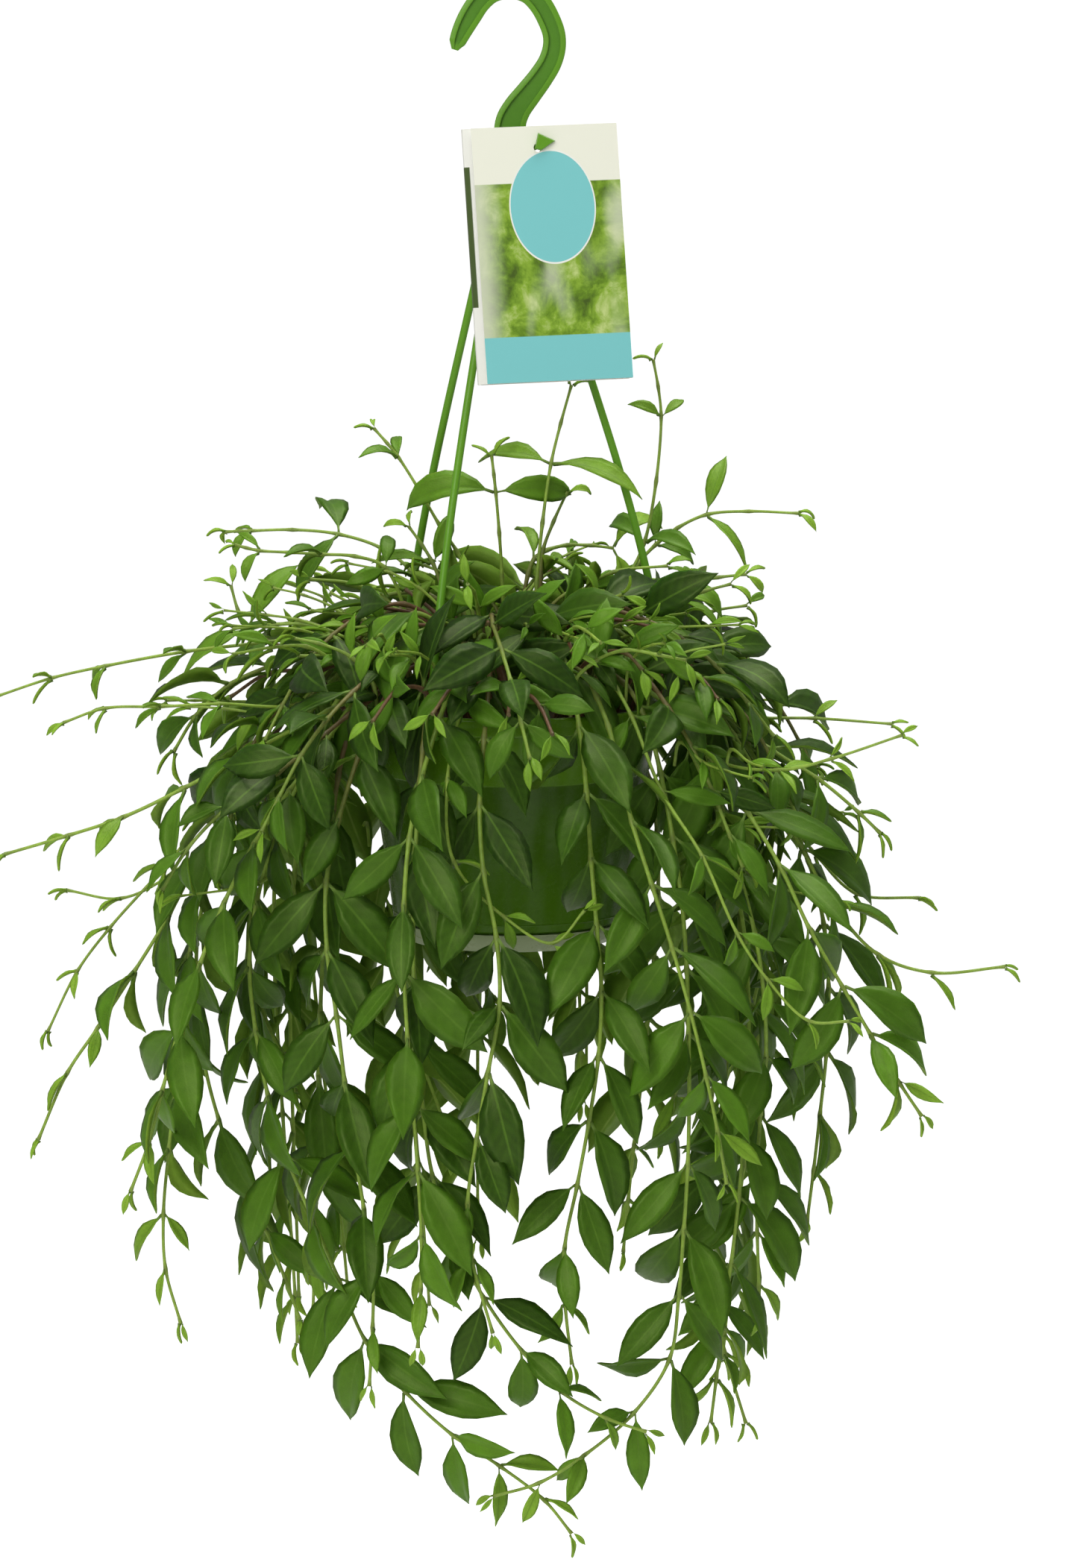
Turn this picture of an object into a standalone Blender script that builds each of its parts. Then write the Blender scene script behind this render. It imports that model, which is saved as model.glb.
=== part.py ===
"""A trailing codonanthe in a plastic hanging pot.

The hook's bearing point, where it sits on its peg, is the origin; +Z is up and
-Y is the front, the side that carries the card. All sizes are millimetres until
a mesh is made, and MM turns them into Blender's metres.
"""

import math
import random

import bpy
import bmesh
from mathutils import Matrix, Vector
from mathutils.bvhtree import BVHTree
from mathutils.geometry import intersect_point_line
from mathutils.kdtree import KDTree

MM = 0.001
GAP = 0.3                      # between pieces that touch
UP = Vector((0, 0, 1))
FRONT = Vector((0, -1, 0))        # towards the light, which the leaves turn to

# Hook and hub
HOOK_HALF_DEPTH = 3.0
HOOK_RIM = 3.0                 # flange left standing on each side of the groove
GROOVE_DEPTH = 1.7
HUB_TOP = -70.0
HUB_DEPTH = 11.0
HUB_RADIUS = 10.5
ARM_PITCH_RADIUS = 5.2         # of the three sockets in the hub's underside
SOCKET_DEPTH = 5.5             # from the hub's top to the middle of an arm's ball end
BALL_RADIUS = 2.6

# Pot, saucer and soil
RIM_TOP = -342.0
RIM_RADIUS = 77.0
RIM_LIP = 9.0                  # height of the rolled rim
WALL_TOP_RADIUS = 73.0
POT_HEIGHT = 110.0
POT_BASE_RADIUS = 54.0
POT_WALL = 1.4
POT_BASE = RIM_TOP - POT_HEIGHT
SAUCER_DROP = 7.5
SAUCER_RADIUS = 58.2
SAUCER_BASE_RADIUS = 51.0
SAUCER_WALL = 1.2
SOIL_TOP = RIM_TOP - 10.0
ROUND_STEPS = 36

# Arms
ARM_AZIMUTHS = {"arm_right": 4.0, "arm_front_left": 241.0, "arm_back_left": 134.0}
ARM_RADIUS = 1.9
ARM_BOW = 6.0                  # how far the arms bulge outward, two thirds of the way down
CLAW_WIDTH = 7.0
CLAW_THICK = 2.0

# Card and its tie
CARD_WIDTH = 72.0
CARD_HEIGHT = 124.0
CARD_SHEET = 0.5
CARD_FOLD_GAP = 1.1
CARD_CENTRE = Vector((20.4, -26.0, -121.2))
CARD_LEAN = 1.5                # degrees about the front-back axis
CARD_PITCH = 11.0              # its foot hangs forward, clear of the front arm
CARD_YAW = 12.0                # its left edge is the nearer one
CARD_HOLE_RADIUS = 2.2
CARD_HOLE_DROP = 10.5          # below the card's top edge
TIE_RADIUS = 1.1

# Stems and leaves
NODE_HALF = 1.5                # half the length of a swollen stem joint
STEM_SPACING = 7.6             # least distance kept between two stems' middles
ARCH_LENGTH = 110.0            # of a trailing stem, from its root to well over the rim
LEAF_CLEARANCE = 0.8
TWO_STATION_LENGTH = 41.0      # shorter leaves have one cross-section, longer ones two
SEED = 41

# kind: (stem radius, joint spacing, leaf length, leaf width, fork angle, droop, leaf curl)
KINDS = {
    "trail": (1.15, 31.0, 49.0, 18.5, 50.0, 0.55, 34.0),
    "long trail": (1.1, 31.0, 48.0, 18.0, 50.0, 0.45, 34.0),
    "runner": (0.95, 40.0, 29.0, 10.5, 48.0, 0.26, 38.0),
    "crown": (1.15, 22.0, 43.0, 17.0, 58.0, 0.30, 44.0),
    "shoot": (0.95, 0.0, 38.0, 13.0, 66.0, 0.05, 76.0),
}

# Each vine's route outside the pot, as points it passes through. Before the
# first of them it rises from the soil and crosses the rim, worked out by rule.
# A shoot bears leaves only at these points; the fourth number is their length.
ROUTES = [
    # trailing down the front, left to right
    ("long trail", [(-124, -70, -440), (-122, -76, -500), (-108, -78, -556), (-88, -82, -602),
                    (-68, -86, -648), (-32, -90, -687), (12, -95, -717), (30, -96, -738)]),
    ("trail", [(-88, -100, -420), (-82, -104, -490), (-74, -102, -553), (-66, -99, -610),
               (-68, -95, -665)]),
    ("trail", [(-48, -128, -396), (-50, -134, -458), (-46, -134, -520), (-42, -130, -590),
               (-44, -124, -640)]),
    ("long trail", [(-46, -104, -430), (-44, -108, -493), (-36, -110, -563), (-18, -112, -608),
                    (6, -113, -644), (34, -113, -671), (66, -112, -684)]),
    ("runner", [(-30, -118, -395), (-10, -120, -425), (8, -120, -437), (24, -120, -444),
                (36, -120, -428)]),
    ("trail", [(-14, -120, -398), (-4, -132, -460), (-14, -134, -526), (-20, -132, -580),
               (-8, -128, -632)]),
    ("trail", [(40, -110, -418), (44, -116, -480), (36, -113, -545), (26, -109, -600), (30, -106, -652)]),
    ("trail", [(60, -112, -392), (76, -124, -440), (88, -128, -482), (98, -128, -526),
               (104, -124, -560)]),
    ("runner", [(78, -104, -384), (92, -120, -402), (104, -126, -430), (128, -130, -466),
                (146, -131, -481), (162, -130, -480)]),
    ("long trail", [(82, -92, -422), (86, -98, -490), (86, -97, -552), (83, -96, -600), (76, -96, -655),
                    (54, -97, -684), (14, -100, -712), (-8, -102, -718)]),
    ("trail", [(110, -56, -425), (116, -64, -495), (112, -66, -570), (104, -64, -640), (98, -64, -690)]),
    # out and down to the left
    ("runner", [(-125, -20, -312), (-180, -35, -318), (-230, -45, -328), (-248, -50, -334)]),
    ("runner", [(-130, -60, -336), (-168, -74, -336), (-204, -84, -337), (-214, -88, -342)]),
    ("long trail", [(-130, -80, -360), (-182, -90, -386), (-242, -100, -404)]),
    ("long trail", [(-140, -34, -396), (-168, -42, -446), (-196, -47, -490), (-222, -51, -530),
                    (-230, -50, -552)]),
    ("runner", [(-150, 10, -402), (-182, 8, -440), (-204, 4, -464), (-222, 0, -492), (-228, 0, -507)]),
    ("trail", [(-124, -98, -402), (-146, -108, -450), (-162, -112, -500), (-174, -113, -545),
               (-182, -112, -566)]),
    ("long trail", [(-148, -46, -424), (-158, -60, -492), (-166, -72, -560), (-168, -76, -605),
                    (-160, -76, -638)]),
    ("trail", [(-148, 2, -430), (-154, -4, -496), (-142, -6, -556), (-118, -8, -612), (-104, -10, -650)]),
    ("trail", [(-112, -96, -366), (-146, -106, -390), (-166, -108, -420)]),
    ("runner", [(-134, 38, -400), (-168, 36, -434), (-204, 34, -448), (-220, 34, -442)]),
    # out and down to the right
    ("runner", [(102, 2, -350), (135, 0, -351), (166, -2, -352), (187, -2, -354)]),
    ("runner", [(96, -60, -362), (130, -80, -366), (158, -90, -358), (188, -95, -347)]),
    ("trail", [(124, -36, -360), (156, -42, -380), (180, -44, -402)]),
    ("long trail", [(132, 24, -398), (164, 24, -436), (186, 22, -450), (202, 22, -444)]),
    ("long trail", [(136, -22, -402), (170, -32, -456), (192, -33, -469), (226, -32, -474),
                    (242, -30, -470)]),
    ("trail", [(124, -92, -400), (144, -102, -440), (166, -106, -478), (188, -108, -515),
               (198, -108, -530)]),
    ("trail", [(146, -14, -420), (156, -22, -482), (152, -22, -545), (146, -22, -598)]),
    ("trail", [(116, -82, -436), (124, -72, -500), (120, -60, -560), (122, -54, -640)]),
    ("trail", [(112, -28, -440), (106, -32, -520), (98, -32, -595), (104, -30, -655), (116, -30, -698)]),
    # standing above the pot
    ("shoot", [(-19, 18, -286, 0), (-35, 20, -258, 0), (-55, 22, -225, 24), (-67, 24, -211, 11)]),
    ("shoot", [(-4, 4, -282, 0), (-7, 0, -240, 45), (-9, -1, -222, 12)]),
    ("shoot", [(13, -4, -284, 0), (20, 0, -226, 47), (30, 6, -188, 13)]),
    ("shoot", [(54, 24, -294, 0), (66, 24, -267, 34), (74, 24, -205, 20), (70, 22, -177, 10)]),
    ("shoot", [(56, 34, -290, 0), (72, 40, -270, 22), (97, 38, -255, 30), (142, 34, -254, 12)]),
    ("shoot", [(-47, 34, -284, 26), (-85, 40, -265, 44), (-128, 46, -264, 15), (-141, 50, -265, 10)]),
    ("shoot", [(-61, -10, -276, 26), (-92, -14, -269, 26), (-122, -16, -267, 16), (-134, -17, -264, 9)]),
]

# How far each pair of leaves is turned round the stem from the pair before it
CROSSING = {"trail": 58, "long trail": 58, "runner": 40, "crown": 60, "shoot": 30}

# The crown's arching stems and the vines behind, both spread round the pot by rule.
CROWN_COUNT = 6
CROWN_POINTS = [(40, 0, -300), (76, 6, -296), (112, 12, -316), (142, 16, -352)]  # radius, turn, height
BACK_COUNT = 8


def clear_scene():
    for old in list(bpy.data.objects):
        bpy.data.objects.remove(old, do_unlink=True)


def material(name, colour, roughness, alpha=1.0):
    made = bpy.data.materials.new(name)
    made.use_nodes = True
    shader = made.node_tree.nodes["Principled BSDF"]
    shader.inputs["Base Color"].default_value = (*colour, 1.0)
    shader.inputs["Roughness"].default_value = roughness
    shader.inputs["Metallic"].default_value = 0.0
    shader.inputs["Alpha"].default_value = alpha
    return made


def solid(name, points, faces, finish, smooth=True):
    """An object from points in millimetres, with its faces turned outward."""
    mesh = bpy.data.meshes.new(name)
    mesh.from_pydata([[c * MM for c in p] for p in points], [], faces)
    work = bmesh.new()
    work.from_mesh(mesh)
    bmesh.ops.recalc_face_normals(work, faces=work.faces)
    if work.calc_volume(signed=True) < 0:
        bmesh.ops.reverse_faces(work, faces=work.faces)
    work.to_mesh(mesh)
    work.free()
    if smooth:
        mesh.shade_smooth()
        mesh.set_sharp_from_angle(angle=math.radians(35))
    made = bpy.data.objects.new(name, mesh)
    bpy.context.scene.collection.objects.link(made)
    if finish:
        mesh.materials.append(finish)
    return made


def boolean(target, tool, operation):
    step = target.modifiers.new(tool.name, "BOOLEAN")
    step.operation = operation
    step.solver = "EXACT"
    step.object = tool
    tool.hide_render = True
    tool.display_type = "WIRE"


def polar(radius, azimuth, height=0.0):
    turn = math.radians(azimuth)
    return Vector((radius * math.cos(turn), radius * math.sin(turn), height))


def turned(profile, steps=ROUND_STEPS):
    """Points and faces of a closed (radius, height) profile turned about Z; radius 0 is a pole."""
    points, rows, faces = [], [], []
    for radius, height in profile:
        count = 1 if radius == 0 else steps
        rows.append([len(points) + i for i in range(count)])
        points += [polar(radius, 360 * i / steps, height) for i in range(count)]
    loop = list(zip(rows, rows[1:] + rows[:1])) if profile[0][0] else list(zip(rows, rows[1:]))
    for upper, lower in loop:
        for i in range(steps):
            j = (i + 1) % steps
            if len(upper) == 1:
                faces.append((upper[0], lower[i], lower[j]))
            elif len(lower) == 1:
                faces.append((upper[i], lower[0], upper[j]))
            else:
                faces.append((upper[i], lower[i], lower[j], upper[j]))
    return points, faces


def swept(sections):
    """Points and faces of a tube through closed sections of equal length, with flat ends."""
    points = [p for section in sections for p in section]
    n = len(sections[0])
    faces = [tuple(range(n)), tuple(len(points) - n + i for i in range(n))]
    for row in range(len(sections) - 1):
        for i in range(n):
            a, b = row * n + i, row * n + (i + 1) % n
            faces.append((a, b, b + n, a + n))
    return points, faces


def round_section(middle, along, radius, sides=8, reference=UP):
    side = along.cross(reference)
    side = side.normalized() if side.length > 1e-6 else Vector((1, 0, 0))
    over = side.cross(along).normalized()
    turns = [math.tau * i / sides for i in range(sides)]
    return [middle + side * (radius * math.cos(t)) + over * (radius * math.sin(t)) for t in turns]


def round_tube(points, radius, sides=8, reference=UP):
    ends = [(points[max(i - 1, 0)], points[min(i + 1, len(points) - 1)]) for i in range(len(points))]
    return swept([round_section(p, (b - a).normalized(), radius, sides, reference)
                  for p, (a, b) in zip(points, ends)])


def smooth_path(points, step):
    """Points about a step apart on the curve through the given points (centripetal Catmull-Rom)."""
    points = [Vector(p) for p in points]
    ends = [points[0] * 2 - points[1]] + points + [points[-1] * 2 - points[-2]]
    path = [points[0]]
    for p0, p1, p2, p3 in zip(ends, ends[1:], ends[2:], ends[3:]):
        t1 = math.sqrt((p1 - p0).length)
        t2 = t1 + math.sqrt((p2 - p1).length)
        t3 = t2 + math.sqrt((p3 - p2).length)
        count = max(2, round((p2 - p1).length / step))
        for i in range(1, count + 1):
            t = t1 + (t2 - t1) * i / count
            a1 = p0.lerp(p1, t / t1)
            a2 = p1.lerp(p2, (t - t1) / (t2 - t1))
            a3 = p2.lerp(p3, (t - t2) / (t3 - t2))
            path.append(a1.lerp(a2, t / t2).lerp(a2.lerp(a3, (t - t1) / (t3 - t1)), (t - t1) / (t2 - t1)))
    return path


# ---------------------------------------------------------------- hook and hub

# The hook's middle line (x, z) and its width there, from the tip over the top to the hub.
HOOK_LINE = [
    ((-26.7, -24.4), 6.0), ((-25.5, -20.8), 8.0), ((-23.0, -15.0), 9.8), ((-19.2, -8.0), 11.0),
    ((-14.6, -1.2), 11.0), ((-9.0, 3.6), 11.0), ((-2.5, 5.5), 11.0), ((2.5, 5.5), 11.0),
    ((9.2, 3.2), 11.0), ((14.6, -2.2), 11.0), ((18.8, -9.6), 11.0), ((21.4, -17.0), 11.0),
    ((21.5, -23.5), 11.2), ((19.4, -30.5), 11.5), ((14.8, -38.0), 12.0), ((9.0, -45.6), 12.8),
    ((3.4, -53.0), 13.8), ((0.6, -59.0), 15.0), ((0.0, -64.5), 15.6), ((0.3, -72.0), 15.6),
]
GROOVE_LINE = HOOK_LINE[1:-2]


def band(line, inset, y_low, y_high, chamfer):
    """A flat strip along (x, z) points with widths, between two depths, with chamfered edges."""
    sections = []
    for i, ((x, z), width) in enumerate(line):
        before, after = line[max(i - 1, 0)][0], line[min(i + 1, len(line) - 1)][0]
        along = Vector((after[0] - before[0], after[1] - before[1])).normalized()
        side = Vector((-along.y, along.x))
        half = width / 2 - inset
        ring = []
        for u, y in ((-half, y_low + chamfer), (-half + chamfer, y_low), (half - chamfer, y_low),
                     (half, y_low + chamfer), (half, y_high - chamfer), (half - chamfer, y_high),
                     (-half + chamfer, y_high), (-half, y_high - chamfer)):
            ring.append(Vector((x + side.x * u, y, z + side.y * u)))
        sections.append(ring)
    return swept(sections)


def arm_line(azimuth):
    """An arm's middle line, from its head above the hub to the middle of its claw."""
    top = polar(ARM_PITCH_RADIUS, azimuth, HUB_TOP - SOCKET_DEPTH)
    foot = polar(RIM_RADIUS + GAP + ARM_RADIUS, azimuth, RIM_TOP - 1.0)
    bulge = polar(ARM_BOW, azimuth)
    return [top.lerp(foot, t) + bulge * math.sin(math.pi * t ** 1.6) for t in (i / 9 for i in range(10))]


def ball(middle, radius):
    """Points and faces of a small sphere."""
    rows = [(radius * math.sin(math.pi * i / 6), radius * math.cos(math.pi * i / 6)) for i in range(7)]
    rows = [(0 if i in (0, 6) else r, z) for i, (r, z) in enumerate(rows)]
    points, faces = turned(rows, 8)
    return [p + middle for p in points], faces


def build_hanger(plastic):
    hook = solid("hanger_hook", *band(HOOK_LINE, 0.0, -HOOK_HALF_DEPTH, HOOK_HALF_DEPTH, 0.6), plastic)
    hub_low = HUB_TOP - HUB_DEPTH
    profile = [(0, HUB_TOP), (HUB_RADIUS - 1.5, HUB_TOP), (HUB_RADIUS, HUB_TOP - 1.5),
               (HUB_RADIUS, hub_low + 1.5), (HUB_RADIUS - 1.5, hub_low), (0, hub_low)]
    boolean(hook, solid("hub_disc", *turned(profile, 24), None), "UNION")
    for name, azimuth in ARM_AZIMUTHS.items():
        line = arm_line(azimuth)
        along = (line[1] - line[0]).normalized()
        mouth = round_tube([line[0], line[0] + along * 12], ARM_RADIUS + GAP + 0.1, 12)
        boolean(hook, solid(f"mouth_{name}", *mouth, None), "DIFFERENCE")
        boolean(hook, solid(f"socket_{name}", *ball(line[0], BALL_RADIUS + GAP + 0.05), None), "DIFFERENCE")
    line = [(p, max(w, 2 * HOOK_RIM + 1.2)) for p, w in GROOVE_LINE]
    points, faces = [], []
    for low, high in ((-HOOK_HALF_DEPTH - 2, GROOVE_DEPTH - HOOK_HALF_DEPTH),
                      (HOOK_HALF_DEPTH - GROOVE_DEPTH, HOOK_HALF_DEPTH + 2)):
        more, around = band(line, HOOK_RIM, low, high, 0.2)
        faces += [tuple(len(points) + i for i in face) for face in around]
        points += more
    boolean(hook, solid("grooves", points, faces, None), "DIFFERENCE")


def build_arm(name, azimuth, plastic):
    """A rod with a ball end snapped into the hub and a claw that grips the pot's rim."""
    line = arm_line(azimuth)
    arm = solid(name, *round_tube(line, ARM_RADIUS, 8), plastic)
    boolean(arm, solid(f"ball_{name}", *ball(line[0], BALL_RADIUS), None), "UNION")
    outer = RIM_RADIUS + GAP + CLAW_THICK
    inner = RIM_RADIUS + GAP
    outline = [(outer, RIM_TOP + GAP + 1.8), (outer, RIM_TOP - RIM_LIP - GAP - 1.8),
               (inner - 3.4, RIM_TOP - RIM_LIP - GAP - 1.8), (inner - 3.4, RIM_TOP - RIM_LIP - GAP),
               (inner, RIM_TOP - RIM_LIP - GAP), (inner, RIM_TOP + GAP),
               (inner - 3.4, RIM_TOP + GAP), (inner - 3.4, RIM_TOP + GAP + 1.8)]
    sections = []
    for side in (-CLAW_WIDTH / 2, CLAW_WIDTH / 2):
        shift = polar(side, azimuth + 90)
        sections.append([polar(r, azimuth, z) + shift for r, z in outline])
    boolean(arm, solid(f"claw_{name}", *swept(sections), None), "UNION")


# ------------------------------------------------------------------------ pot

def wall_radius(height):
    """The pot's outer radius at a height, on its tapering wall."""
    return WALL_TOP_RADIUS + (POT_BASE_RADIUS + 3 - WALL_TOP_RADIUS) * (RIM_TOP - height) / POT_HEIGHT


def build_pot(plastic, clear_plastic, earth):
    lip = RIM_TOP - RIM_LIP
    inner_floor = POT_BASE + POT_WALL
    pot_profile = [
        (0, POT_BASE), (POT_BASE_RADIUS, POT_BASE), (wall_radius(POT_BASE + 3), POT_BASE + 3),
        (wall_radius(lip), lip), (RIM_RADIUS - 0.8, lip), (RIM_RADIUS, lip + 0.8),
        (RIM_RADIUS, RIM_TOP - 1.0), (RIM_RADIUS - 1.0, RIM_TOP), (WALL_TOP_RADIUS, RIM_TOP),
        (wall_radius(RIM_TOP - 3) - POT_WALL, RIM_TOP - 3),
        (wall_radius(inner_floor + 3) - POT_WALL, inner_floor + 3),
        (POT_BASE_RADIUS - POT_WALL, inner_floor), (0, inner_floor)]
    solid("pot", *turned(pot_profile), plastic)

    ledge = POT_BASE - GAP
    floor = POT_BASE - SAUCER_DROP + SAUCER_WALL
    saucer_profile = [
        (0, POT_BASE - SAUCER_DROP), (SAUCER_BASE_RADIUS, POT_BASE - SAUCER_DROP),
        (SAUCER_RADIUS - 1.6, POT_BASE - 0.6), (SAUCER_RADIUS, POT_BASE + 1.8),
        (SAUCER_RADIUS - SAUCER_WALL, POT_BASE + 1.8), (SAUCER_RADIUS - 2.7, ledge),
        (SAUCER_BASE_RADIUS + 0.4, ledge), (SAUCER_BASE_RADIUS - 1.5, floor), (0, floor)]
    solid("drip_saucer", *turned(saucer_profile), clear_plastic)

    def inside(height):
        return wall_radius(height) - POT_WALL - GAP - 0.1
    soil_base = inner_floor + GAP
    soil_profile = [(0, soil_base), (POT_BASE_RADIUS - POT_WALL - 1.2, soil_base),
                    (inside(soil_base + 3.4), soil_base + 3.4), (inside(SOIL_TOP - 2), SOIL_TOP - 2),
                    (inside(SOIL_TOP) - 3, SOIL_TOP), (0, SOIL_TOP)]
    solid("soil", *turned(soil_profile), earth)


# ------------------------------------------------------------- card and its tie

def card_place():
    """Where the card's own axes lie: x across, z up, y front to back, origin at its middle."""
    yaw = Matrix.Rotation(math.radians(CARD_YAW), 4, "Z")
    pitch = Matrix.Rotation(-math.radians(CARD_PITCH), 4, "X")
    lean = Matrix.Rotation(-math.radians(CARD_LEAN), 4, "Y")
    return Matrix.Translation(CARD_CENTRE) @ yaw @ pitch @ lean


def card_hole():
    """The middle of the card's tie hole."""
    return card_place() @ Vector((-3.5, 0, CARD_HEIGHT / 2 - CARD_HOLE_DROP))


def build_card(board):
    """One sheet folded to and fro into four panels, seen from above as a thick zigzag."""
    half = CARD_WIDTH / 2
    pitch = CARD_SHEET + CARD_FOLD_GAP
    middle = [(-half, 0), (half, 0), (half, pitch), (-half - 4, pitch), (-half - 4, 2 * pitch),
              (half - 1, 2 * pitch), (half - 1, 3 * pitch), (-half - 2, 3 * pitch)]
    t = CARD_SHEET / 2
    front, back = [], []
    for i, (x, y) in enumerate(middle):
        before, after = middle[max(i - 1, 0)], middle[min(i + 1, len(middle) - 1)]
        into = Vector((x - before[0], y - before[1])).normalized() if i else None
        out = Vector((after[0] - x, after[1] - y)).normalized() if i < len(middle) - 1 else None
        sides = [Vector((-d.y, d.x)) for d in (into, out) if d]
        shift = sides[0] + sides[1] if len(sides) == 2 else sides[0]
        front.append((x - shift.x * t, y - shift.y * t))
        back.append((x + shift.x * t, y + shift.y * t))
    outline = front + back[::-1]
    place = card_place()
    sections = [[place @ Vector((x, y, z)) for x, y in outline] for z in (-CARD_HEIGHT / 2, CARD_HEIGHT / 2)]
    card = solid("tag_card", *swept(sections), board, smooth=False)
    hole = card_hole()
    through = card_place().to_3x3() @ Vector((0, 1, 0))
    tool = round_tube([hole - through * 6, hole + through * 12], CARD_HOLE_RADIUS, 10)
    boolean(card, solid("card_hole", *tool, None), "DIFFERENCE")


def build_tie(plastic):
    """A loop round the hook's neck, resting on the hub, with a barbed strap through the card."""
    height = HUB_TOP + GAP + TIE_RADIUS
    half_x, half_y = 10.1, HOOK_HALF_DEPTH + TIE_RADIUS + 1.1
    corners = []
    for i in range(16):
        turn = math.tau * i / 16
        corners.append(Vector((1.0 + math.copysign(abs(math.cos(turn)) ** 0.6, math.cos(turn)) * half_x,
                               math.copysign(abs(math.sin(turn)) ** 0.6, math.sin(turn)) * half_y, height)))
    rings = []
    for i, p in enumerate(corners):
        along = (corners[(i + 1) % 16] - corners[i - 1]).normalized()
        rings.append(round_section(p, along, TIE_RADIUS, 8))
    points = [p for ring in rings for p in ring]
    faces = []
    for row in range(16):
        nxt = (row + 1) % 16
        for i in range(8):
            j = (i + 1) % 8
            faces.append((row * 8 + i, row * 8 + j, nxt * 8 + j, nxt * 8 + i))
    tie = solid("tag_tie", points, faces, plastic)
    place = card_place().to_3x3()
    through, up = place @ Vector((0, 1, 0)), place @ UP
    peg = card_hole() + up * (CARD_HOLE_RADIUS - GAP - TIE_RADIUS)
    strap = smooth_path([(7.0, -half_y, height), (11.0, -9.0, height - 0.4), peg + through * 8.0,
                         peg + through * 5.0, peg - through * 2.4], 2.0)
    boolean(tie, solid("tie_strap", *round_tube(strap, TIE_RADIUS, 8), None), "UNION")
    across = up.cross(through)
    outline = ((-1.8, -1.4), (1.4, -2.4), (8.7, 2.1), (0.4, 6.3))
    barb = [[peg - through * depth - across * (x * scale) + up * (z * scale) for x, z in outline]
            for depth, scale in ((CARD_SHEET / 2 + GAP, 1.0), (CARD_SHEET / 2 + GAP + 2.0, 0.85))]
    boolean(tie, solid("tie_barb", *swept(barb), None), "UNION")


# --------------------------------------------------------------- how vines grow

def full_routes():
    """Every vine's kind, its points from root to tip, and a shoot's leaf lengths."""
    chance = random.Random(SEED)
    routes = [(kind, list(points)) for kind, points in ROUTES]
    for i in range(CROWN_COUNT):
        azimuth = 360 * (i + 0.3) / CROWN_COUNT
        points = [polar(radius, azimuth + turn, height) for radius, turn, height in CROWN_POINTS]
        routes.append(("crown", points))
    for i in range(BACK_COUNT):
        azimuth = 18 + 138 * i / (BACK_COUNT - 1)
        points = [polar(112, azimuth, -364), polar(chance.uniform(126, 142), azimuth, -430),
                  polar(chance.uniform(100, 136), azimuth + chance.uniform(-8, 8), -chance.uniform(540, 690))]
        routes.append(("trail", points))
    whole = []
    for i, (kind, points) in enumerate(routes):
        first = Vector(points[0])
        azimuth = math.degrees(math.atan2(first.y, first.x))
        reach = Vector((first.x, first.y)).length
        trailing = kind not in ("crown", "shoot")
        root_radius = (22, 52, 38, 58, 30, 45)[i % 6] if trailing else min(40, reach * 0.7)
        start = [polar(root_radius, azimuth + 7 * (i % 3 - 1), SOIL_TOP + GAP)]
        if trailing:
            crest = RIM_TOP + 20 + (58 - root_radius) * 0.7
            start.append(polar(0.5 * root_radius + 38, azimuth, crest))
            if reach > 100 and first.z < crest - 16:
                start.append(polar(94, azimuth, RIM_TOP + 6))
        lengths = [p[3] for p in points] if kind == "shoot" else []
        whole.append((kind, start + [Vector(p[:3]) for p in points], lengths))
    return whole


def keep_out(p):
    """How far a stem's point must move to clear the pot, arms, card and hub."""
    push = Vector()
    radius = Vector((p.x, p.y)).length
    outward = Vector((p.x, p.y, 0)).normalized() if radius > 1 else Vector((1, 0, 0))
    if p.z < RIM_TOP - 10:
        if radius > 60 or p.z < SOIL_TOP - 2:
            push += outward * max(0, wall_radius(p.z) + 5 - radius)
    else:
        rim = outward * 74 + UP * (RIM_TOP - 4)
        away = p - rim
        if away.length < 11:
            push += away.normalized() * (11 - away.length)
        if radius < 66:
            push += UP * max(0, SOIL_TOP + 4 - p.z)
    for azimuth in ARM_AZIMUTHS.values():
        line = arm_line(azimuth)
        at = min(8, max(0, int(9 * (line[0].z - p.z) / (line[0].z - line[-1].z))))
        if line[-1].z - 12 < p.z < line[0].z + 4:
            near, _ = intersect_point_line(p, line[at], line[at + 1])
            away = p - near
            least = 6.0 if p.z > RIM_TOP + 6 else 9.0
            if away.length < least:
                push += away.normalized() * (least - away.length)
    local = card_place().inverted() @ p
    if abs(local.x) < CARD_WIDTH / 2 + 7 and abs(local.z) < CARD_HEIGHT / 2 + 5 and -6 < local.y < 11:
        push += Vector((0, 11 - local.y, 0))
    return push


def shoot_joints(points, lengths):
    """Joints at a shoot's own points with their leaf lengths, and a bare one before each."""
    path = smooth_path(points, 2.0)
    at = [min(range(len(path)), key=lambda i: (path[i] - p).length) for p in points]
    joints, leafy = [path[0]], [0]
    for low, high, length in zip(at, at[1:], lengths):
        joints += [path[(low + high) // 2].copy(), path[high].copy()]
        leafy += [0, length]
    return joints, leafy


def stem_joints(kind, points, lengths):
    """Points along a stem's route, and which of them bear leaves; the arch over the rim has more."""
    if lengths:
        return shoot_joints(points, lengths)
    spacing = KINDS[kind][1]
    arched = kind != "crown"
    path = smooth_path(points, 2.0)
    total = sum((b - a).length for a, b in zip(path, path[1:]))
    joints, leafy, since, run = [path[0]], [False], 0.0, 0.0
    for a, b in zip(path, path[1:]):
        run += (b - a).length
        since += (b - a).length
        want = 16 if arched and run < ARCH_LENGTH else spacing
        if total - run < 50:
            want = min(want, 26)
        if since >= want and total - run > 12:
            joints.append(b.copy())
            leafy.append(run > ARCH_LENGTH or not arched or len(joints) % 2 == 1)
            since = 0.0
    return joints + [path[-1]], leafy + [True]


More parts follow.
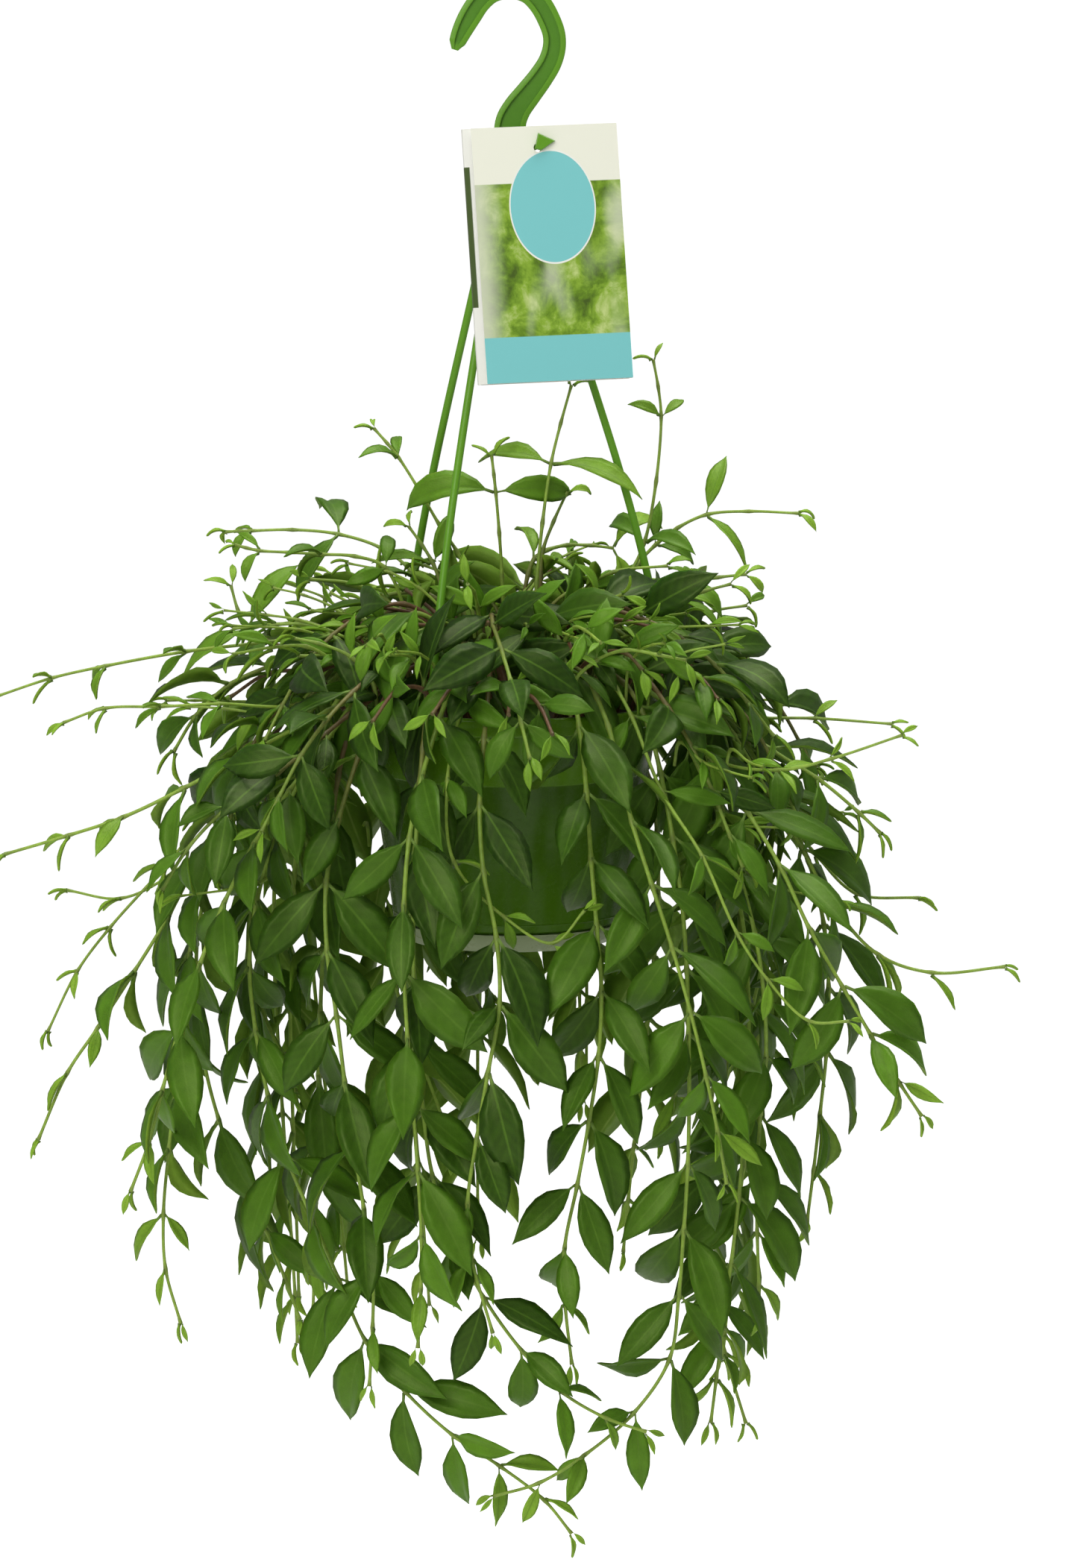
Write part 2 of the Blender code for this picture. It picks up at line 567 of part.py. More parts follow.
def relax(stems, rounds=60):
    """Moves the joints until no two stems, and no stem and fixed piece, run through each other."""
    for _ in range(rounds):
        samples = []
        for s, joints in enumerate(stems):
            for j in range(len(joints) - 1):
                a, b = joints[j], joints[j + 1]
                count = max(1, round((b - a).length / 4))
                for k in range(count):
                    samples.append((s, j, k / count, a.lerp(b, k / count)))
        tree = KDTree(len(samples))
        for i, sample in enumerate(samples):
            tree.insert(sample[3], i)
        tree.balance()
        moves = [[Vector() for _ in joints] for joints in stems]
        for i, (s, j, t, p) in enumerate(samples):
            push = keep_out(p) if j or t else Vector((-p.x, -p.y, 0)) * max(0, 1 - 60 / math.hypot(p.x, p.y))
            for q, other, distance in tree.find_range(p, STEM_SPACING):
                if samples[other][0] != s:
                    away = p - q if distance > 1e-6 else Vector((1, 0, 0))
                    push += away.normalized() * (STEM_SPACING - distance) * 0.5
            if push.length > 0:
                push *= min(1.0, 6.0 / push.length)
                for joint, share in ((j, 1 - t), (j + 1, t)):
                    step = push * share
                    if step.length > moves[s][joint].length:
                        moves[s][joint] = step
        for joints, steps in zip(stems, moves):
            steps[0].z = 0
            for j, step in enumerate(steps):
                joints[j] += step * 0.7


class Leaf:
    """One leaf: where it leaves its stem, which way it runs and faces, and its size."""

    def __init__(self, base, along, face, length, width, curl):
        self.base, self.length, self.width, self.curl = base, length, width, curl
        self.along = along.normalized()
        self.face = (face - self.along * face.dot(self.along)).normalized()

    def frame(self, part):
        """The middle line's point, its face and its side direction, part of the way along."""
        bend = math.radians(self.curl)
        start = -0.2 * bend
        end = start + bend * part
        run = self.length / bend
        forward = run * (math.sin(end) - math.sin(start))
        sink = run * (math.cos(start) - math.cos(end))
        point = self.base + self.along * forward - self.face * sink
        face = self.face * math.cos(end) + self.along * math.sin(end)
        side = self.face.cross(self.along)
        return point, face, side

    def section(self, part, half_width, spare=0.0):
        """The two edges and the keel of the blade's cross-section, or a fattened one with a top."""
        point, face, side = self.frame(part)
        rise = face * (half_width * 0.14)
        under = face * (0.5 + half_width * 0.07 + spare)
        left = point - side * (half_width + spare) + rise
        right = point + side * (half_width + spare) + rise
        return [left, point - under, right] + ([point + rise + face * spare] if spare else [])

    def stations(self):
        if self.length < TWO_STATION_LENGTH:
            return [(0.44, self.width * 0.5)]
        return [(0.34, self.width * 0.48), (0.66, self.width * 0.42)]

    def probe(self, start):
        """A fattened copy, from a distance off the stem, for finding what the leaf would hit."""
        rows = [(min(0.3, start / self.length), 1.3)] + self.stations() + [(1.0 + 0.6 / self.length, 0.1)]
        return swept([self.section(part, half, LEAF_CLEARANCE) for part, half in rows])


class Space:
    """What is already there: the fixed pieces, each vine's stem, and every leaf placed so far."""

    def __init__(self):
        self.shapes, self.leaves = [], []

    def add(self, points, faces, vine=None):
        self.shapes.append((vine, BVHTree.FromPolygons(points, faces)))

    def try_leaf(self, leaf, vine):
        """Keeps the leaf if it hits nothing; its first few millimetres may meet its own stem."""
        points, faces = leaf.probe(0.4)
        low = Vector([min(p[k] for p in points) for k in range(3)])
        high = Vector([max(p[k] for p in points) for k in range(3)])
        whole, blade = BVHTree.FromPolygons(points, faces), BVHTree.FromPolygons(*leaf.probe(3.0))
        for low2, high2, vine2, whole2, blade2 in self.leaves:
            if (low.x < high2.x and low2.x < high.x and low.y < high2.y and low2.y < high.y
                    and low.z < high2.z and low2.z < high.z):
                if blade.overlap(blade2) if vine == vine2 else whole.overlap(whole2):
                    return False
        if any((blade if vine == vine2 else whole).overlap(other) for vine2, other in self.shapes):
            return False
        self.leaves.append((low, high, vine, whole, blade))
        return True


def guards():
    """Plain closed shapes that cover the pot, arms, hub and card, for leaves to stay out of."""
    shapes = [turned([(0, SOIL_TOP + 1), (58, SOIL_TOP + 1), (70, RIM_TOP + 1), (78.5, RIM_TOP + 1),
                      (78.5, RIM_TOP - 11), (74, RIM_TOP - 12), (wall_radius(POT_BASE) + 1.5, POT_BASE + 4),
                      (60, POT_BASE + 3), (54, POT_BASE - 9), (0, POT_BASE - 9)], 24)]
    for azimuth in ARM_AZIMUTHS.values():
        shapes.append(round_tube(arm_line(azimuth), ARM_RADIUS + 1.0, 6))
        claw = polar(RIM_RADIUS + 1, azimuth, RIM_TOP - 13)
        shapes.append(round_tube([claw, claw + UP * 17], 6.0, 8, Vector((1, 0, 0))))
    shapes.append(round_tube([Vector((0, 0, -56)), Vector((0, 0, -76))], 16, 10, Vector((1, 0, 0))))
    place = card_place()
    half, tall = CARD_WIDTH / 2 + 5, CARD_HEIGHT / 2 + 1
    box = [[place @ Vector((x, y, z)) for x, y in ((-half, -5), (half, -5), (half, 7), (-half, 7))]
           for z in (-tall, tall)]
    shapes.append(swept(box))
    return shapes


def joint_frame(joints, i, roll, kind):
    """The stem's direction at a joint, its over and side directions, and where its leaves face."""
    before, after = joints[max(i - 1, 0)], joints[min(i + 1, len(joints) - 1)]
    along = ((after - joints[i]).normalized() + (joints[i] - before).normalized()).normalized()
    out = Vector((joints[i].x, joints[i].y, 0))
    out = out.normalized() if out.length > 1 and kind != "shoot" else FRONT * 0.3
    facing = (out * 0.75 + FRONT * (0.2 * (1 - out.y)) + UP * 0.6).normalized()
    over = facing - along * facing.dot(along)
    over = over.normalized() if over.length > 0.05 else along.orthogonal().normalized()
    over = Matrix.Rotation(roll, 3, along) @ over
    return along, over, along.cross(over), facing


def age_scale(kind, left):
    """How full-grown a pair of leaves is, with so many younger pairs beyond it."""
    young = {"trail": (0.22, 0.5, 0.78), "long trail": (0.22, 0.4, 0.58, 0.8),
             "runner": (0.34, 0.5, 0.62, 0.74, 0.88), "crown": (0.35, 0.7)}[kind]
    return young[left] if left < len(young) else 1.0


def grow():
    """All vines: a list of (kind, joints, frames, leaf pairs), with no pair at a bare joint."""
    routes = full_routes()
    stems, leafy = zip(*(stem_joints(*route) for route in routes))
    relax(stems)
    space = Space()
    for shape in guards():
        space.add(*shape)
    for vine, ((kind, *_), joints) in enumerate(zip(routes, stems)):
        space.add(*round_tube(joints, KINDS[kind][0] + LEAF_CLEARANCE, 6), vine)
    vines = []
    for vine, ((kind, *_), joints, bears) in enumerate(zip(routes, stems, leafy)):
        radius, chance = KINDS[kind][0], random.Random(SEED + vine)
        frames, pairs = [None], [None]
        for i in range(1, len(joints)):
            crossed = sum(pair is not None for pair in pairs) % 2
            roll = math.radians(chance.uniform(-30, 30) + CROSSING[kind] * crossed)
            along, over, side, facing = joint_frame(joints, i, roll if bears[i] else 0, kind)
            frames.append((along, over, side))
            if not bears[i]:
                pairs.append(None)
                continue
            full = KINDS[kind][2]
            grown = bears[i] / full if kind == "shoot" else age_scale(kind, sum(bears[i + 1:]))
            pair = []
            for sign in (1, -1):
                size = grown * chance.uniform(0.86, 1.12)
                base = joints[i] + side * (sign * radius * 0.9)
                draws = [chance.uniform(-1, 1) for _ in range(4)]
                pair.append(place_leaf(space, vine, base, along, side * sign, facing, size, kind, draws))
            pairs.append(pair)
        vines.append((kind, joints, frames, pairs))
    return vines


# How a leaf is turned, tried in order until it is clear of everything: fork, lift, twist, size
LEAF_TRIES = [(0, 0, 0, 1.0), (-16, 0, 0, 1.0), (16, 0, 0, 1.0), (0, 18, 0, 1.0), (0, -18, 0, 1.0),
              (-14, 16, 20, 0.95), (14, 16, -20, 0.95), (-14, -16, -20, 0.95), (14, -16, 20, 0.95),
              (0, 34, 30, 0.9), (0, -34, -30, 0.9), (-30, 10, 40, 0.85), (28, 10, -40, 0.85),
              (0, 0, 0, 0.75), (-24, 24, 0, 0.75), (24, -24, 0, 0.75), (0, 45, 0, 0.7),
              (-20, 0, 60, 0.6), (20, 20, -60, 0.6), (0, 0, 0, 0.5), (-30, 30, 0, 0.45), (0, 50, 40, 0.4)]


def place_leaf(space, vine, base, along, side, facing, size, kind, draws):
    """The first turn of the leaf that hits nothing, or None where there is no room for it."""
    _, _, length, width, fork, droop, curl = KINDS[kind]
    for fork_more, lift, twist, shrink in LEAF_TRIES:
        spread = (fork + fork_more) * (0.4 + 0.6 * min(1.0, size))    # young leaves stand close together
        angle = math.radians(spread + draws[0] * 10)
        way = side * math.sin(angle) + along * math.cos(angle) - UP * droop
        way = (way.normalized() + facing * math.sin(math.radians(lift + draws[1] * 12))).normalized()
        face = Matrix.Rotation(math.radians(twist + draws[2] * 22), 3, way) @ (
            facing - way * facing.dot(way)).normalized()
        leaf = Leaf(base, way, face, length * size * shrink, width * size * shrink * (1 + draws[3] * 0.1),
                    curl * (1 + draws[3] * 0.35))
        if space.try_leaf(leaf, vine):
            return leaf
    return None


# ------------------------------------------------------------- a vine as a solid

def build_vine(name, vine, green):
    """One closed solid: a three-sided stem, and at each joint a leaf drawn out of either side."""
    kind, joints, frames, pairs = vine
    radius = KINDS[kind][0]
    points, faces = [], []

    def ring(middle, over, side, size):
        """The stem's top edge, then its right and left lower edges."""
        first = len(points)
        points.append(middle + over * size)
        points.append(middle + side * (size * 0.87) - over * (size * 0.5))
        points.append(middle - side * (size * 0.87) - over * (size * 0.5))
        return [first, first + 1, first + 2]

    def bridge(low, high):
        for i in range(3):
            j = (i + 1) % 3
            faces.append((low[i], low[j], high[j], high[i]))

    def least_twisted(low, high):
        turns = [[high[(i + k) % 3] for i in range(3)] for k in range(3)]
        return min(turns, key=lambda turn: sum((points[a] - points[b]).length for a, b in zip(low, turn)))

    def leaf_out(leaf, corners, along):
        """Draws a leaf out of four corners: behind and ahead on top, behind and ahead below."""
        top_behind, low_behind, low_ahead, top_ahead = corners
        down, across = (points[b] - points[a] for a, b in ((top_behind, low_behind), (low_behind, low_ahead)))
        root_turn = down.cross(across).dot(leaf.along)
        previous = None
        for station in leaf.stations():
            left, keel, right = leaf.section(*station)
            behind, ahead = (left, right) if (right - left).dot(along) > 0 else (right, left)
            blade_turn = (keel - behind).cross(ahead - keel).dot(leaf.along)
            if not previous and root_turn * blade_turn < 0:    # both must run the same way round
                top_behind, low_behind, low_ahead, top_ahead = low_behind, top_behind, top_ahead, low_ahead
            first = len(points)
            points.extend((behind, keel, ahead))
            now = [first, first + 1, first + 2]
            if previous:
                bridge(previous, now)
            else:
                faces.append((top_behind, low_behind, now[1], now[0]))
                faces.append((low_behind, low_ahead, now[1]))
                faces.append((low_ahead, top_ahead, now[2], now[1]))
                faces.append((top_ahead, top_behind, now[0], now[2]))
            previous = now
        points.append(leaf.frame(1.0)[0])
        faces.extend((previous[i], previous[(i + 1) % 3], len(points) - 1) for i in range(3))

    last = len(joints) - 1
    previous = ring(joints[0], Vector((1, 0, 0)), Vector((0, 1, 0)), radius * 1.2)
    faces.append(tuple(previous))
    for i in range(1, last + 1):
        along, over, side = frames[i]
        size = radius * (1.2 - 0.35 * i / last)
        if pairs[i] is None:
            bend = ring(joints[i], over, side, size)
            bridge(previous, least_twisted(previous, bend))
            previous = bend
            continue
        low = ring(joints[i] - along * NODE_HALF, over, side, size)
        high = ring(joints[i] + along * NODE_HALF, over, side, size)
        bridge(previous, least_twisted(previous, low))
        faces.append((low[1], low[2], high[2], high[1]))
        for leaf, edge in zip(pairs[i], (1, 2)):
            corners = (low[0], low[edge], high[edge], high[0])
            if leaf:
                leaf_out(leaf, corners, along)
            else:
                faces.append(corners)
        previous = high
    points.append(joints[last] + frames[last][0] * (NODE_HALF + 3.0))
    faces.extend((previous[i], previous[(i + 1) % 3], len(points) - 1) for i in range(3))
    return solid(name, points, faces, green, smooth=False)


def main():
    clear_scene()
    moulded = material("green_plastic", (0.17, 0.40, 0.07), 0.35)
    pot_green = material("pot_plastic", (0.10, 0.24, 0.06), 0.25, 0.8)
    frosted = material("saucer_plastic", (0.45, 0.52, 0.38), 0.3, 0.7)
    board = material("card", (0.80, 0.84, 0.72), 0.5)
    earth = material("soil", (0.05, 0.035, 0.025), 0.95)
    leaf_green = material("leaf", (0.06, 0.13, 0.03), 0.35)
    build_hanger(moulded)
    for name, azimuth in ARM_AZIMUTHS.items():
        build_arm(name, azimuth, moulded)
    build_pot(pot_green, frosted, earth)
    build_card(board)
    build_tie(moulded)
    for number, vine in enumerate(grow(), 1):
        build_vine(f"vine_{number:02d}", vine, leaf_green)


main()
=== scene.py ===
"""A trailing codonanthe in a plastic hanging pot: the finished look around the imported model.

The hook's bearing point is the origin, +Z is up and -Y is the front. The plant's and the
hanger's lines are worked out in millimetres, and MM turns them into metres.
"""
import math
import random

import bmesh
import bpy
import numpy as np
from mathutils import Matrix, Vector
from mathutils.bvhtree import BVHTree
from mathutils.geometry import intersect_point_line
from mathutils.kdtree import KDTree


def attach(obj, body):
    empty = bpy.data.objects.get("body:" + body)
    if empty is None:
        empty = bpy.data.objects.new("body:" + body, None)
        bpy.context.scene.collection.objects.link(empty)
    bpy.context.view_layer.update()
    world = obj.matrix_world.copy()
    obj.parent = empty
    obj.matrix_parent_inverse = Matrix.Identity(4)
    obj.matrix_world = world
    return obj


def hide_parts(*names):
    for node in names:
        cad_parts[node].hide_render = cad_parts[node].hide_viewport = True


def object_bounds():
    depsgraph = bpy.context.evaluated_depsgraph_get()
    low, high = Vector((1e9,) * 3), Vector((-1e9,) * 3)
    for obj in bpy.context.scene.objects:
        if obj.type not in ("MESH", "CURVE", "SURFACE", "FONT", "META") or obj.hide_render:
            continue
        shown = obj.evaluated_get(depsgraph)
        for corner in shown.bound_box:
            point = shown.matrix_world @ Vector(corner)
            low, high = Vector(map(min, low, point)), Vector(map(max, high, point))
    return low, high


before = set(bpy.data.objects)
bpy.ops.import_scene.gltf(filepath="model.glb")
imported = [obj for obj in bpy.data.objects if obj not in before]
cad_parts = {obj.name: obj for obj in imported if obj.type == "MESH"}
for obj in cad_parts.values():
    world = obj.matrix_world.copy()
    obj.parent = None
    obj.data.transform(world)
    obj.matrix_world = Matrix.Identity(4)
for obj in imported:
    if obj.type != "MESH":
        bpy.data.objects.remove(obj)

cad_box = [list(corner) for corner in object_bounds()]

MM = 0.001
GAP = 0.3                      # between pieces that touch
UP = Vector((0, 0, 1))
FRONT = Vector((0, -1, 0))     # towards the light, which the leaves turn to

# Hook and hub
HOOK_HALF_DEPTH = 3.0
HOOK_RIM = 3.0                 # flange left standing on each side of the groove
GROOVE_DEPTH = 1.7
HUB_TOP = -70.0
HUB_DEPTH = 11.0
HUB_RADIUS = 10.5
ARM_PITCH_RADIUS = 5.2         # of the three sockets in the hub's underside
SOCKET_DEPTH = 5.5             # from the hub's top to the middle of an arm's ball end
BALL_RADIUS = 2.6

# Pot, saucer and soil
RIM_TOP = -342.0
RIM_RADIUS = 77.0
RIM_LIP = 9.0                  # height of the rolled rim
WALL_TOP_RADIUS = 73.0
POT_HEIGHT = 110.0
POT_BASE_RADIUS = 54.0
POT_WALL = 1.4
POT_BASE = RIM_TOP - POT_HEIGHT
BAND_FOOT = -376.0             # lower edge of the thicker band under the rim
SAUCER_DROP = 7.5
SAUCER_RADIUS = 58.2
SAUCER_BASE_RADIUS = 51.0
SAUCER_WALL = 1.2
SOIL_TOP = RIM_TOP - 10.0
ROUND_STEPS = 120              # round the pot and the saucer

# Arms
ARM_AZIMUTHS = {"arm_right": 4.0, "arm_front_left": 241.0, "arm_back_left": 134.0}
ARM_RADIUS = 1.9
ARM_BOW = 6.0                  # how far the arms bulge outward, two thirds of the way down
CLAW_WIDTH = 7.0
CLAW_THICK = 2.0

# Card and its tie
CARD_WIDTH = 72.0
CARD_HEIGHT = 124.0
CARD_SHEET = 0.5
CARD_FOLD_GAP = 1.1
CARD_CENTRE = Vector((20.4, -26.0, -121.2))
CARD_LEAN = 1.5                # degrees about the front-back axis
CARD_PITCH = 11.0              # its foot hangs forward, clear of the front arm
CARD_YAW = 12.0                # its left edge is the nearer one
CARD_HOLE_RADIUS = 2.2
CARD_HOLE_DROP = 10.5          # below the card's top edge
CARD_HOLE_SIDE = -3.5          # from the card's middle line

# Stems and leaves
STEM_SPACING = 7.6             # least distance kept between two stems' middles
WALL_SPACING = 5.0             # and between a stem's middle and the pot's wall
RIM_SPACING = 11.0             # and the middle of the rolled rim
CARD_SPACING = 11.0            # and the middle of the card's front panel
RELAX_ROUNDS = 60
SAMPLE_STEP = 4                # between the points at which stems are kept apart
ROOT_LIMIT = 60                # furthest from the pot's middle that a stem may root
ROOT_RADII = (22, 52, 38, 58, 30, 45)    # where the trailing stems root, taken in turn
ARCH_LENGTH = 110.0            # of a trailing stem, from its root to well over the rim
ARCH_SPACING = 16              # between its joints there
PATH_STEP = 2.0                # between the points from which a stem's joints are taken
LEAF_SEAT = 0.9                # where a leaf starts, as a share of its stem's radius
LEAF_CLEARANCE = 0.8
LEAF_KICK = 0.2                # how much of a leaf's curl bends its base back
LEAF_SIZES = (0.86, 1.12)      # smallest and largest share of the size that a leaf's age gives it
LEAF_ROLL = 30                 # degrees that a pair of leaves may be off its turn
TWO_STATION_LENGTH = 41.0      # shorter leaves have one cross-section, longer ones two
SEED = 41

# kind: (stem radius, joint spacing, leaf length, leaf width, fork angle, droop, leaf curl)
KINDS = {
    "trail": (1.15, 31.0, 49.0, 18.5, 50.0, 0.55, 34.0),
    "long trail": (1.1, 31.0, 48.0, 18.0, 50.0, 0.45, 34.0),
    "runner": (0.95, 40.0, 29.0, 10.5, 48.0, 0.26, 38.0),
    "crown": (1.15, 22.0, 43.0, 17.0, 58.0, 0.30, 44.0),
    "shoot": (0.95, 0.0, 38.0, 13.0, 66.0, 0.05, 76.0),
    "sprig": (0.95, 17.0, 34.0, 12.0, 56.0, 0.06, 62.0),
    "tip": (0.75, 18.0, 22.0, 6.0, 34.0, 0.08, 46.0),
}

# Each vine's route outside the pot, as points it passes through. Before the
# first of them it rises from the soil and crosses the rim, worked out by rule.
# A shoot bears leaves only at these points; the fourth number is their length.
ROUTES = [
    # trailing down the front, left to right
    ("long trail", [(-124, -70, -440), (-122, -76, -500), (-108, -78, -556), (-88, -82, -602),
                    (-68, -86, -648), (-32, -90, -687), (12, -95, -717), (30, -96, -738)]),
    ("trail", [(-88, -100, -420), (-82, -104, -490), (-74, -102, -553), (-66, -99, -610),
               (-68, -95, -665)]),
    ("trail", [(-48, -128, -396), (-50, -134, -458), (-46, -134, -520), (-42, -130, -590),
               (-44, -124, -640)]),
    ("long trail", [(-46, -104, -430), (-44, -108, -493), (-36, -110, -563), (-18, -112, -608),
                    (6, -113, -644), (34, -113, -671), (66, -112, -684)]),
    ("runner", [(-30, -118, -395), (-10, -120, -425), (8, -120, -437), (24, -120, -444),
                (36, -120, -428)]),
    ("trail", [(-14, -120, -398), (-4, -132, -460), (-14, -134, -526), (-20, -132, -580),
               (-8, -128, -632)]),
    ("trail", [(40, -110, -418), (44, -116, -480), (36, -113, -545), (26, -109, -600), (30, -106, -652)]),
    ("trail", [(60, -112, -392), (76, -124, -440), (88, -128, -482), (98, -128, -526),
               (104, -124, -560)]),
    ("runner", [(78, -104, -384), (92, -120, -402), (104, -126, -430), (128, -130, -466),
                (146, -131, -481), (162, -130, -480)]),
    ("long trail", [(82, -92, -422), (86, -98, -490), (86, -97, -552), (83, -96, -600), (76, -96, -655),
                    (54, -97, -684), (14, -100, -712), (-8, -102, -718)]),
    ("trail", [(110, -56, -425), (116, -64, -495), (112, -66, -570), (104, -64, -640), (98, -64, -690)]),
    # out and down to the left
    ("runner", [(-125, -20, -312), (-180, -35, -318), (-230, -45, -328), (-248, -50, -334)]),
    ("runner", [(-130, -60, -336), (-168, -74, -336), (-204, -84, -337), (-214, -88, -342)]),
    ("long trail", [(-130, -80, -360), (-182, -90, -386), (-242, -100, -404)]),
    ("long trail", [(-140, -34, -396), (-168, -42, -446), (-196, -47, -490), (-222, -51, -530),
                    (-230, -50, -552)]),
    ("runner", [(-150, 10, -402), (-182, 8, -440), (-204, 4, -464), (-222, 0, -492), (-228, 0, -507)]),
    ("trail", [(-124, -98, -402), (-146, -108, -450), (-162, -112, -500), (-174, -113, -545),
               (-182, -112, -566)]),
    ("long trail", [(-148, -46, -424), (-158, -60, -492), (-166, -72, -560), (-168, -76, -605),
                    (-160, -76, -638)]),
    ("trail", [(-148, 2, -430), (-154, -4, -496), (-142, -6, -556), (-118, -8, -612), (-104, -10, -650)]),
    ("trail", [(-112, -96, -366), (-146, -106, -390), (-166, -108, -420)]),
    ("runner", [(-134, 38, -400), (-168, 36, -434), (-204, 34, -448), (-220, 34, -442)]),
    # out and down to the right
    ("runner", [(102, 2, -350), (135, 0, -351), (166, -2, -352), (187, -2, -354)]),
    ("runner", [(96, -60, -362), (130, -80, -366), (158, -90, -358), (188, -95, -347)]),
    ("trail", [(124, -36, -360), (156, -42, -380), (180, -44, -402)]),
    ("long trail", [(132, 24, -398), (164, 24, -436), (186, 22, -450), (202, 22, -444)]),
    ("long trail", [(136, -22, -402), (170, -32, -456), (192, -33, -469), (226, -32, -474),
                    (242, -30, -470)]),
    ("trail", [(124, -92, -400), (144, -102, -440), (166, -106, -478), (188, -108, -515),
               (198, -108, -530)]),
    ("trail", [(146, -14, -420), (156, -22, -482), (152, -22, -545), (146, -22, -598)]),
    ("trail", [(116, -82, -436), (124, -72, -500), (120, -60, -560), (122, -54, -640)]),
    ("trail", [(112, -28, -440), (106, -32, -520), (98, -32, -595), (104, -30, -655), (116, -30, -698)]),
    # standing above the pot
    ("shoot", [(-19, 18, -286, 0), (-35, 20, -258, 0), (-55, 22, -225, 24), (-67, 24, -211, 11)]),
    ("shoot", [(-4, 4, -282, 0), (-7, 0, -240, 45), (-9, -1, -222, 12)]),
    ("shoot", [(13, -4, -284, 0), (20, 0, -226, 47), (30, 6, -188, 13)]),
    ("shoot", [(54, 24, -294, 0), (66, 24, -267, 34), (74, 24, -205, 20), (70, 22, -177, 10)]),
    ("shoot", [(56, 34, -290, 0), (72, 40, -270, 22), (97, 38, -255, 30), (142, 34, -254, 12)]),
    ("shoot", [(-47, 34, -284, 26), (-85, 40, -265, 44), (-128, 46, -264, 15), (-141, 50, -265, 10)]),
    ("shoot", [(-61, -10, -276, 26), (-92, -14, -269, 26), (-122, -16, -267, 16), (-134, -17, -264, 9)]),
]

# How far each pair of leaves is turned round the stem from the pair before it
CROSSING = {"trail": 58, "long trail": 58, "runner": 40, "crown": 60, "shoot": 30, "sprig": 70, "tip": 90}

# The crown's arching stems and the vines behind, both spread round the pot by rule.
CROWN_COUNT = 6
CROWN_POINTS = [(40, 0, -300), (76, 6, -296), (112, 12, -316), (142, 16, -352)]  # radius, turn, height
BACK_COUNT = 8
BACK_START, BACK_SPREAD = 18, 138        # azimuths

# How full-grown a pair of leaves is, counted from the stem's tip; the last number is for all the rest.
YOUNG = {
    "trail": (0.22, 0.5, 0.78, 1.0),
    "long trail": (0.22, 0.4, 0.58, 0.8, 1.0),
    "runner": (0.34, 0.5, 0.62, 0.74, 0.88, 1.0),
    "crown": (0.35, 0.7, 1.0),
    "sprig": (0.4, 0.7, 0.9),
    "tip": (0.45, 0.7, 0.9),
}


def polar(radius, azimuth, height=0.0):
    """The point at a radius and an azimuth in degrees from +X."""
    turn = math.radians(azimuth)
    return Vector((radius * math.cos(turn), radius * math.sin(turn), height))


def turned(profile, steps):
    """Points and faces of a closed (radius, height) profile turned about Z; radius 0 is a pole."""
    points, rows, faces = [], [], []
    for radius, height in profile:
        count = 1 if radius == 0 else steps
        rows.append([len(points) + i for i in range(count)])
        points += [polar(radius, 360 * i / steps, height) for i in range(count)]
    loop = list(zip(rows, rows[1:] + rows[:1])) if profile[0][0] else list(zip(rows, rows[1:]))
    for upper, lower in loop:
        for i in range(steps):
            j = (i + 1) % steps
            if len(upper) == 1:
                faces.append((upper[0], lower[i], lower[j]))
            elif len(lower) == 1:
                faces.append((upper[i], lower[0], upper[j]))
            else:
                faces.append((upper[i], lower[i], lower[j], upper[j]))
    return points, faces


def swept(sections):
    """Points and faces of a tube through closed sections of equal length, with flat ends."""
    points = [p for section in sections for p in section]
    n = len(sections[0])
    faces = [tuple(range(n)), tuple(len(points) - n + i for i in range(n))]
    for row in range(len(sections) - 1):
        for i in range(n):
            a, b = row * n + i, row * n + (i + 1) % n
            faces.append((a, b, b + n, a + n))
    return points, faces


def round_section(middle, along, radius, sides, reference):
    side = along.cross(reference)
    side = side.normalized() if side.length > 1e-6 else Vector((1, 0, 0))
    over = side.cross(along).normalized()
    turns = [math.tau * i / sides for i in range(sides)]
    return [middle + side * (radius * math.cos(t)) + over * (radius * math.sin(t)) for t in turns]


def round_tube(points, radius, sides, reference=UP):
    ends = [(points[max(i - 1, 0)], points[min(i + 1, len(points) - 1)]) for i in range(len(points))]
    return swept([round_section(p, (b - a).normalized(), radius, sides, reference)
                  for p, (a, b) in zip(points, ends)])


def smooth_path(points, step):
    """Points about a step apart on the curve through the given points (centripetal Catmull-Rom)."""
    points = [Vector(p) for p in points]
    ends = [points[0] * 2 - points[1]] + points + [points[-1] * 2 - points[-2]]
    path = [points[0]]
    for p0, p1, p2, p3 in zip(ends, ends[1:], ends[2:], ends[3:]):
        t1 = math.sqrt((p1 - p0).length)
        t2 = t1 + math.sqrt((p2 - p1).length)
        t3 = t2 + math.sqrt((p3 - p2).length)
        count = max(2, round((p2 - p1).length / step))
        for i in range(1, count + 1):
            t = t1 + (t2 - t1) * i / count
            a1 = p0.lerp(p1, t / t1)
            a2 = p1.lerp(p2, (t - t1) / (t2 - t1))
            a3 = p2.lerp(p3, (t - t2) / (t3 - t2))
            path.append(a1.lerp(a2, t / t2).lerp(a2.lerp(a3, (t - t1) / (t3 - t1)), (t - t1) / (t2 - t1)))
    return path


def arm_line(azimuth):
    """An arm's middle line, from its head above the hub to the middle of its claw."""
    top = polar(ARM_PITCH_RADIUS, azimuth, HUB_TOP - SOCKET_DEPTH)
    foot = polar(RIM_RADIUS + GAP + ARM_RADIUS, azimuth, RIM_TOP - 1.0)
    bulge = polar(ARM_BOW, azimuth)
    return [top.lerp(foot, t) + bulge * math.sin(math.pi * t ** 1.6) for t in (i / 9 for i in range(10))]


